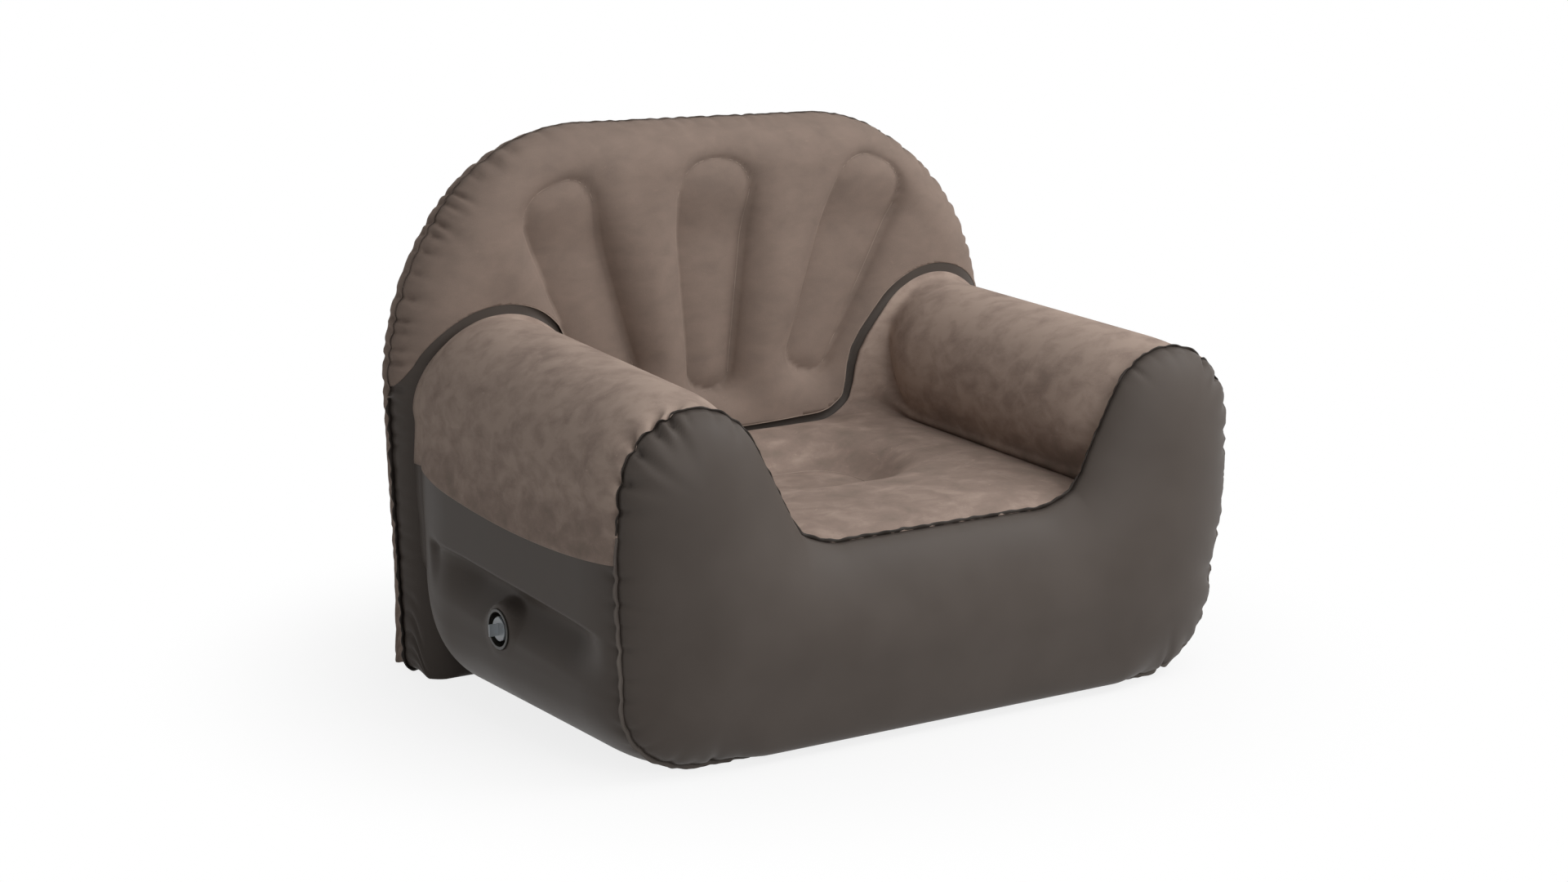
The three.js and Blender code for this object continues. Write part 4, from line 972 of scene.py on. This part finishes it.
def weld_fin(name, pleats, out, y, width, wave, material, seed, keep):
    """Flat welded edge round a ring, drawn in and bent at the pleats. The width and the part that
    is kept are functions of the place (x, z)."""
    draw = np.random.default_rng(seed)
    total = pleats.total
    count = int(total / FIN_STEP)
    s = np.arange(count) * total / count
    at, way = pleats.spread(pleats.ring, s), pleats.spread(out, s)
    notch = pleats.notch(s)
    phase = draw.uniform(0, 2 * np.pi, len(FIN_WAVES))
    cycles = np.round(total / np.array(FIN_WAVES))
    sway = sum(np.sin(2 * np.pi * c * s / total + p) for c, p in zip(cycles, phase))
    ruffle = 1 + FIN_RUFFLE * np.sin(2 * np.pi * cycles[3] * s / total + phase[1])
    reach = width(*at.T) * ruffle
    loops = []
    for share, thick, bend in FIN_RINGS:
        out_by = reach * share * (1 - FIN_GATHER * notch) - notch * pleats.DRAWN_IN
        edge = at + way * out_by[:, None]
        edge[:, 1] = np.maximum(edge[:, 1], LOWEST_FIN_Z)
        bent = sway * wave / FIN_WAVES_HIGH - notch * FIN_PULL
        loops.append((edge, y + bend * bent, thick))
    sides = [(e, y0 - t) for e, y0, t in loops] + [(e, y0 + t) for e, y0, t in loops[::-1]]
    rings = np.stack([at_depth(e, y0) for e, y0 in sides], axis=1)
    kept = keep(*at.T)
    first = int(np.nonzero(~kept & np.roll(kept, -1))[0][0]) + 1
    swept(name, np.roll(rings, -first, axis=0)[:kept.sum()], False, material)


for name, breadth, wave, finish, seed, keep in (
        ("upper", UPPER_WIDTH, UPPER_WAVE, SHADED_TOP_WELD, 5, lambda x, z: z > FLOCK_CORNER_Z),
        ("lower", LOWER_WIDTH, LOWER_WAVE, WELD, 6, lambda x, z: z <= FLOCK_CORNER_Z)):
    weld_fin(f"backrest_{name}_weld", back_pleats, back_out, BACK_SEAM_Y,
             lambda x, z: np.full(len(x), breadth), wave, finish, seed, keep)

# Base cell skins
front_out = ring_out(front_ring)


def front_weight(x, z):
    """Hardly gathered along the seat, most on the outer quarter of the arms and low at +X."""
    weight = np.where(np.abs(x) < 330, 0.06, np.where(z > 430, 0.6, 0.7))
    weight = np.where((np.abs(x) > 440) & (z > 380), 1.5, weight)
    return np.where((x > 400) & (z < 380), 1.35, weight)


front_pleats = Pleats(front_ring, front_weight, spacing=36, depth=4.2, reach=24, seed=23)
PLEATS_TO = 90  # in from the front weld
WRAP_STEP, WRAP_GROWTH = 0.8, 1.25  # first step in from a weld, and how the steps grow
WRAP_LAST_FRONT, WRAP_LAST_REAR, WRAP_MIDDLE_ROWS = 7, 6, 60
SEAT_LIFT = 1.0  # of the flocked sheet from the plain one that it is welded to
FOLD_FROM_Y, FOLD_TO_Y = -325, 60


def graded(length, last):
    """Places from 0 to a length with steps that grow up to the last one."""
    places, step = [0.0], WRAP_STEP
    while places[-1] < length:
        places.append(places[-1] + step)
        step = min(last, step * WRAP_GROWTH)
    return np.array(places) * length / places[-1]


def wrap_rows():
    """Places along Y of the rows that wrap the base cell, close together near the two welds."""
    front = FRONT_SEAM_Y + graded(FRONT_ROLL, WRAP_LAST_FRONT)
    rear = REAR_SEAM_Y - graded(REAR_ROLL, WRAP_LAST_REAR)[::-1]
    middle = np.linspace(front[-1], rear[0], WRAP_MIDDLE_ROWS)[1:-1]
    return np.concatenate([front, middle, rear])


def wrapped_surface():
    """Points, faces and outward directions of the sheets that wrap the base cell, which end on the
    front sheet of the backrest."""
    grid = []
    for y in wrap_rows():
        grid.append(at_depth(section_at(y), y))
    away = outline_distance(rear_ring, back_ring)[0]
    rear_end = np.maximum(REAR_SEAM_Y, front_depth(rear_ring[:, 0], rear_ring[:, 1], away) + 1)
    for share in (0.5, 1):
        grid.append(at_depth(rear_ring, lerp(REAR_SEAM_Y, rear_end, share)))
    points = np.array(grid).reshape(-1, 3)
    faces = grid_faces(len(grid), RING, closed=True)
    return points, faces, point_normals(points, faces), len(grid)


wrap, wrap_faces, wrap_normals, WRAP_ROWS = wrapped_surface()
wrap_in = wrap[:, 1] - FRONT_SEAM_Y  # distance in from the front weld
along = np.tile(ring_lengths(front_ring)[:-1], WRAP_ROWS)
near = wrap_in < PLEATS_TO
dent = np.zeros(len(wrap))
dent[near] = front_pleats.dent(along[near], wrap_in[near]) * (wrap_in[near] > 0.1)
flat = front_pleats.drawn_in(wrap[:, [0, 2]], along, wrap_in, front_out)
wrap = at_depth(flat, wrap[:, 1]) - wrap_normals * dent[:, None]
wrap[:, 2] = np.maximum(wrap[:, 2], LOWEST_Z)


def strip_faces(low, high):
    """Faces of the wrapped surface between two fine numbers of the ring."""
    return [wrap_faces[j * RING + i % RING] for j in range(WRAP_ROWS - 1) for i in range(low, high)]


edge_at = FINE_AT[MARK["flock_edge"]]
lap_at = FINE_AT[MARK["flock_edge"] - 1]
base_at = FINE_AT[MARK["base_start"]]
points, faces = packed(wrap + wrap_normals * SEAT_LIFT, strip_faces(-edge_at, edge_at))
seat_skin = make_piece("seat_arm_flock_skin", points, faces, ARM_FLOCK, "seat_arm_flock_panel",
                       FLOCK_THICK)
points, faces = packed(wrap, strip_faces(lap_at, base_at + 2))
make_piece("left_side_skin", points, faces, FILM, "left_side_panel", FILM_THICK)

# The side at -X lies flat round the valve and has its hole
points, faces = packed(wrap, strip_faces(-base_at - 2, -lap_at))
valve_gap = np.hypot(points[:, 1] - VALVE_AT[1], points[:, 2] - VALVE_AT[2])
on_side = points[:, 0] < -400
flat_share = smooth((VALVE_FLAT + VALVE_EASE - valve_gap) / VALVE_EASE) * on_side
points[:, 0] = lerp(points[:, 0], VALVE_AT[0], flat_share)
points, faces = clipped(points, faces, np.where(on_side, valve_gap - VALVE_HOLE, VALVE_HOLE))
make_piece("right_side_skin", points, faces, FILM, "right_side_panel", FILM_THICK)
points, faces = packed(wrap, strip_faces(base_at, RING - base_at))
make_piece("base_skin", points, faces, FILM, "base_panel", BASE_THICK)

# Cut edge of the flocked sheet along both sides
for name, k in (("left", edge_at), ("right", -edge_at)):
    rows = np.arange(2, WRAP_ROWS - 3)
    number = rows * RING + k % RING
    path = wrap[number] + wrap_normals[number] * CUT_RISE
    raised_line(f"{name}_side_flock_cut_edge", path, wrap_normals[number], *CUT_EDGE, False)


def on_seat(line, rise):
    """Points on the seat along a line (x, y), lifted by a rise, and the normals there."""
    path, normals = [], []
    for x, y in line:
        z = seat_height(x, y)
        slope_x = (seat_height(x + 2, y) - seat_height(x - 2, y)) / 4
        slope_y = (seat_height(x, y + 2) - seat_height(x, y - 2)) / 4
        path.append((x, y, z))
        normals.append((-slope_x, -slope_y, 1))
    normals = unit(np.array(normals))
    return np.array(path) + normals * rise, normals


# Raised weld round the island of the seat, and the fold on each side of the seat
i = SEAT_ISLAND
straight = i["half_length"] - i["half_width"]
seat_line = island_line((-straight, i["y"]), i["half_width"], (straight, i["y"]), i["half_width"], 120)
path, normals = on_seat(seat_line, SEAT_LIFT)
raised_line("seat_island_weld", path, normals, *SEAT_WELD, True)
for name, way in (("left", 1), ("right", -1)):
    ys = np.linspace(FOLD_FROM_Y, FOLD_TO_Y, 90)
    xs = way * (HALF_WIDTH - lerp(BODY_FRONT["ridge"], BODY_REAR["ridge"], rearward(ys)))
    path, normals = on_seat(np.stack([xs, ys], axis=-1), SEAT_LIFT)
    raised_line(f"seat_{name}_fold", path, normals, *SEAT_FOLD, False)

# Front skin
PANEL_BULGE, PANEL_REACH, PANEL_POWER = 68, 100, 0.6
PANEL_SHOULDER = 4  # stations before the arm's end where the panel's side edge starts
PANEL_LIFT, FRONT_EDGE_LIFT, FRONT_FIN_LIFT = 1.1, 0.5, 0.4  # out from the front seam
SLUMP = dict(share=0.7, flat=14, high=109, edge=9, drop=6, to_x=300, fade=90)


def slump_on_floor(points, distance):
    """Points of the front skin with their lower edge slumped a little on the floor, less so
    towards the corners."""
    s = SLUMP
    height = points[:, 2] - FRONT_SEAM["bottom_z"]
    share = s["share"] * (1 - smooth((height - s["flat"]) / (s["high"] - s["flat"])))
    share = share * smooth(distance / s["edge"])
    share = share * (1 - smooth((np.abs(points[:, 0]) - s["to_x"]) / s["fade"]))
    z = points[:, 2] - np.maximum(0, (height + s["drop"]) * share)
    return np.stack([points[:, 0], points[:, 1], np.maximum(z, LOWEST_Z)], axis=-1)


def front_skin():
    """Points and faces of the front skin, on a grid between the seat's line and the floor."""
    shoulder_at = FINE_AT[MARK["arm_end"] - PANEL_SHOULDER]
    corner_at, foot_at = FINE_AT[MARK["corner_top"]], FINE_AT[MARK["base_start"]]
    tops, bottoms, sides = [], [], []
    for way in (1, -1):
        half = front_ring[[way * k for k in range(foot_at + 1)]] * [way, 1]
        top = half[:shoulder_at + 1]
        corner = half[corner_at:]
        straight = len(top) - len(corner)
        scale = half[foot_at, 0] / top[straight, 0]
        flat_part = np.stack([top[:straight, 0] * scale, np.full(straight, half[foot_at, 1])], axis=-1)
        tops.append(top)
        bottoms.append(np.concatenate([flat_part, corner[::-1]]))
        sides.append(half[corner_at:shoulder_at - 1:-1])
    grid = patch(both_halves(*bottoms), both_halves(*tops), sides[1] * [-1, 1], sides[0],
                 np.linspace(0, 1, len(sides[0])))
    rows, columns = grid.shape[:2]
    flat = grid.reshape(-1, 2)
    ring = flat[grid_edge(rows, columns)]
    distance = outline_distance(flat, ring)[0]
    at = outline_distance(flat, front_ring)[1]
    reach = free_reach(flat, ring[::2])
    y = FRONT_SEAM_Y - PANEL_LIFT - PANEL_BULGE * (reach / PANEL_REACH) ** PANEL_POWER
    y[distance < 1e-6] = FRONT_SEAM_Y - FRONT_EDGE_LIFT
    points = at_depth(front_pleats.drawn_in(flat, at, distance, front_out), y)
    faces = grid_faces(rows, columns)
    normals = point_normals(points, faces)
    dent = front_pleats.dent(at, distance) * (distance > 0.5)
    return slump_on_floor(points - normals * dent[:, None], distance), faces


points, faces = front_skin()
make_piece("front_skin", points, faces, FILM, "front_panel", FILM_THICK)


def front_fin_width(x, z):
    """Narrow along the seat, wider over the arms and along the floor."""
    return 2.2 + 1.0 * smooth((np.abs(x) - 290) / 60) + 3.0 * smooth((340 - z) / 60)


def pale_part(x, z):
    """Where the front weld is stretched pale: down the sides and along the floor."""
    return (np.abs(x) > 350) & (z < 336) | (z < 100)


for name, finish, keep in (("front_weld", WELD, lambda x, z: ~pale_part(x, z)),
                           ("front_side_weld", PALE_WELD, pale_part)):
    weld_fin(name, front_pleats, front_out, FRONT_SEAM_Y - FRONT_FIN_LIFT, front_fin_width, FRONT_WAVE,
             finish, 9, keep)


# Inner film: sleeves that tie the islands to the opposite sheet, and the webs in the arms
SLEEVE_ROWS, WEB_ROWS, WEB_FROM_Y, WEB_TO_Y = 13, 16, -280, 95
FILM_GAP = 2  # between a sleeve's end and the skin that it is welded to
SLEEVE_FOOT_Z = 1.8  # on the base skin
SLEEVE_SIZE, SLEEVE_DRAWN_IN = 0.985, 0.08  # shares of the island's outline
RIPPLE, RIPPLE_TURN = 2.5, 0.9  # height of a web's ripples, and their turn from row to row


def sleeve(name, node, line, low, high, upright):
    """A film tube round an island, drawn in halfway by the air round it."""
    rows = []
    centre = line.mean(axis=0)
    for t in np.linspace(0, 1, SLEEVE_ROWS):
        ring = centre + (line - centre) * (SLEEVE_SIZE - SLEEVE_DRAWN_IN * math.sin(math.pi * t))
        depth = lerp(low, high, t)
        rows.append(np.stack([ring[:, 0], ring[:, 1], depth] if upright
                             else [ring[:, 0], depth, ring[:, 1]], axis=-1))
    faces = grid_faces(SLEEVE_ROWS, len(line), closed=True)
    make_piece(name, np.concatenate(rows), faces, INNER, node, FILM_THICK)


for name, island in ISLANDS.items():
    line = island_line(*island, 96)
    place = (*line.T, outline_distance(line, back_ring)[0])
    sleeve(f"{name}_island_sleeve", f"backrest_{name}_sleeve", line, front_depth(*place) + FILM_GAP,
           rear_depth(*place) - FILM_GAP, upright=False)
seat_tops = np.array([seat_height(x, y) for x, y in seat_line[::2]])
sleeve("seat_island_sleeve", "seat_tension_sleeve", seat_line[::2], np.full(len(seat_tops), SLEEVE_FOOT_Z),
       seat_tops - FILM_GAP, upright=True)
for name, way in (("left", 1), ("right", -1)):
    rows = [j for j, y in enumerate(wrap_rows()) if WEB_FROM_Y < y < WEB_TO_Y]
    crease, groove = FINE_AT[MARK["crease"]] * way % RING, FINE_AT[MARK["waist"]] * way % RING
    grid = []
    for t in np.linspace(0.02, 0.98, WEB_ROWS):
        line = [lerp(wrap[j * RING + crease], wrap[j * RING + groove], t) for j in rows]
        ripple = RIPPLE * math.sin(math.pi * t) * np.sin(np.arange(len(rows)) * RIPPLE_TURN)
        grid.append(np.array(line) + ripple[:, None] * [0, 0, 1])
    make_piece(f"{name}_arm_web", np.concatenate(grid), grid_faces(WEB_ROWS, len(rows)), INNER,
               f"{name}_arm_beam", FILM_THICK)

# Finishes of the valve's solids
for name, material in {"valve_flange": SOCKET, "valve_seal_ring": SEAL, "valve_insert": CLEAR,
                       "valve_cap": CLEAR, "valve_check_flap": SEAL}.items():
    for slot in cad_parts[name].material_slots:
        slot.material = material

# Floor, world and lights
FLOOR_HALF_M, FLOOR_DROP_M = 12, 0.0005
WORLD_LIGHT = 0.28
mesh = bpy.data.meshes.new("floor")
corners = [(x * FLOOR_HALF_M, y * FLOOR_HALF_M, 0) for x, y in ((-1, -1), (1, -1), (1, 1), (-1, 1))]
mesh.from_pydata(corners, [], [(0, 1, 2, 3)])
floor = bpy.data.objects.new("floor", mesh)
bpy.context.collection.objects.link(floor)
floor.location.z = -FLOOR_DROP_M
material, tree = new_material("pale_floor")
path = add_node(tree, "LightPath")
place = add_node(tree, "TexCoord")
# the camera sees the shadow near the object fade into the plain white background
away = add_node(tree, "VectorMath", {"operation": "LENGTH"}, _0=(place, "Object"))
plainness = add_node(tree, "MapRange", {"interpolation_type": "SMOOTHSTEP"},
                     Value=(away, "Value"), From_Min=0.45, From_Max=1.0, To_Min=0.82, To_Max=1.0)
seen = add_node(tree, "Math", {"operation": "MULTIPLY"}, _0=(path, "Is Camera Ray"),
                _1=(plainness, "Result"))
either = add_node(tree, "Math", {"operation": "MAXIMUM"}, _0=(path, "Is Glossy Ray"),
                  _1=(path, "Is Transmission Ray"))
share = add_node(tree, "Math", {"operation": "MAXIMUM"}, _0=(either, "Value"),
                 _1=(seen, "Value"))
surface = add_node(tree, "BsdfPrincipled", Base_Color=linear("#ececec"), Roughness=0.9,
                   Specular_IOR_Level=0.0)
plain = add_node(tree, "Emission", Color=(1, 1, 1, 1), Strength=1.0)
mixed = add_node(tree, "MixShader", Fac=(share, "Value"), _1=(surface, "BSDF"),
                 _2=(plain, "Emission"))
add_node(tree, "OutputMaterial", Surface=(mixed, "Shader"))
mesh.materials.append(material)

world = bpy.data.worlds.new("studio")
bpy.context.scene.world = world
world.use_nodes = True
tree = world.node_tree
tree.nodes.clear()
path = add_node(tree, "LightPath")
either = add_node(tree, "Math", {"operation": "MAXIMUM"}, _0=(path, "Is Glossy Ray"),
                  _1=(path, "Is Transmission Ray"))
seen = add_node(tree, "Math", {"operation": "MAXIMUM"}, _0=(path, "Is Camera Ray"),
                _1=(either, "Value"))
strength = add_node(tree, "MapRange", Value=(seen, "Value"), To_Min=WORLD_LIGHT, To_Max=1.0)
background = add_node(tree, "Background", Color=(1, 1, 1, 1), Strength=(strength, "Result"))
add_node(tree, "OutputWorld", Surface=(background, "Background"))


LAMP_AIM = (0, 0, 320)


def soft_box(name, at, size, power):
    """A rectangular lamp aimed at the middle of the object: its place in millimetres, its size in
    metres and its power in watts."""
    lamp = bpy.data.lights.new(name, "AREA")
    lamp.shape = "RECTANGLE"
    lamp.size, lamp.size_y = size
    lamp.energy = power
    thing = bpy.data.objects.new(name, lamp)
    bpy.context.collection.objects.link(thing)
    look_at(thing, at, LAMP_AIM)


soft_box("top_box", (300, -1200, 2900), (2.4, 2.0), 24)
soft_box("right_box", (2300, -1500, 2500), (1.6, 1.6), 58)
soft_box("front_box", (0, -3600, 1700), (1.6, 1.6), 37)
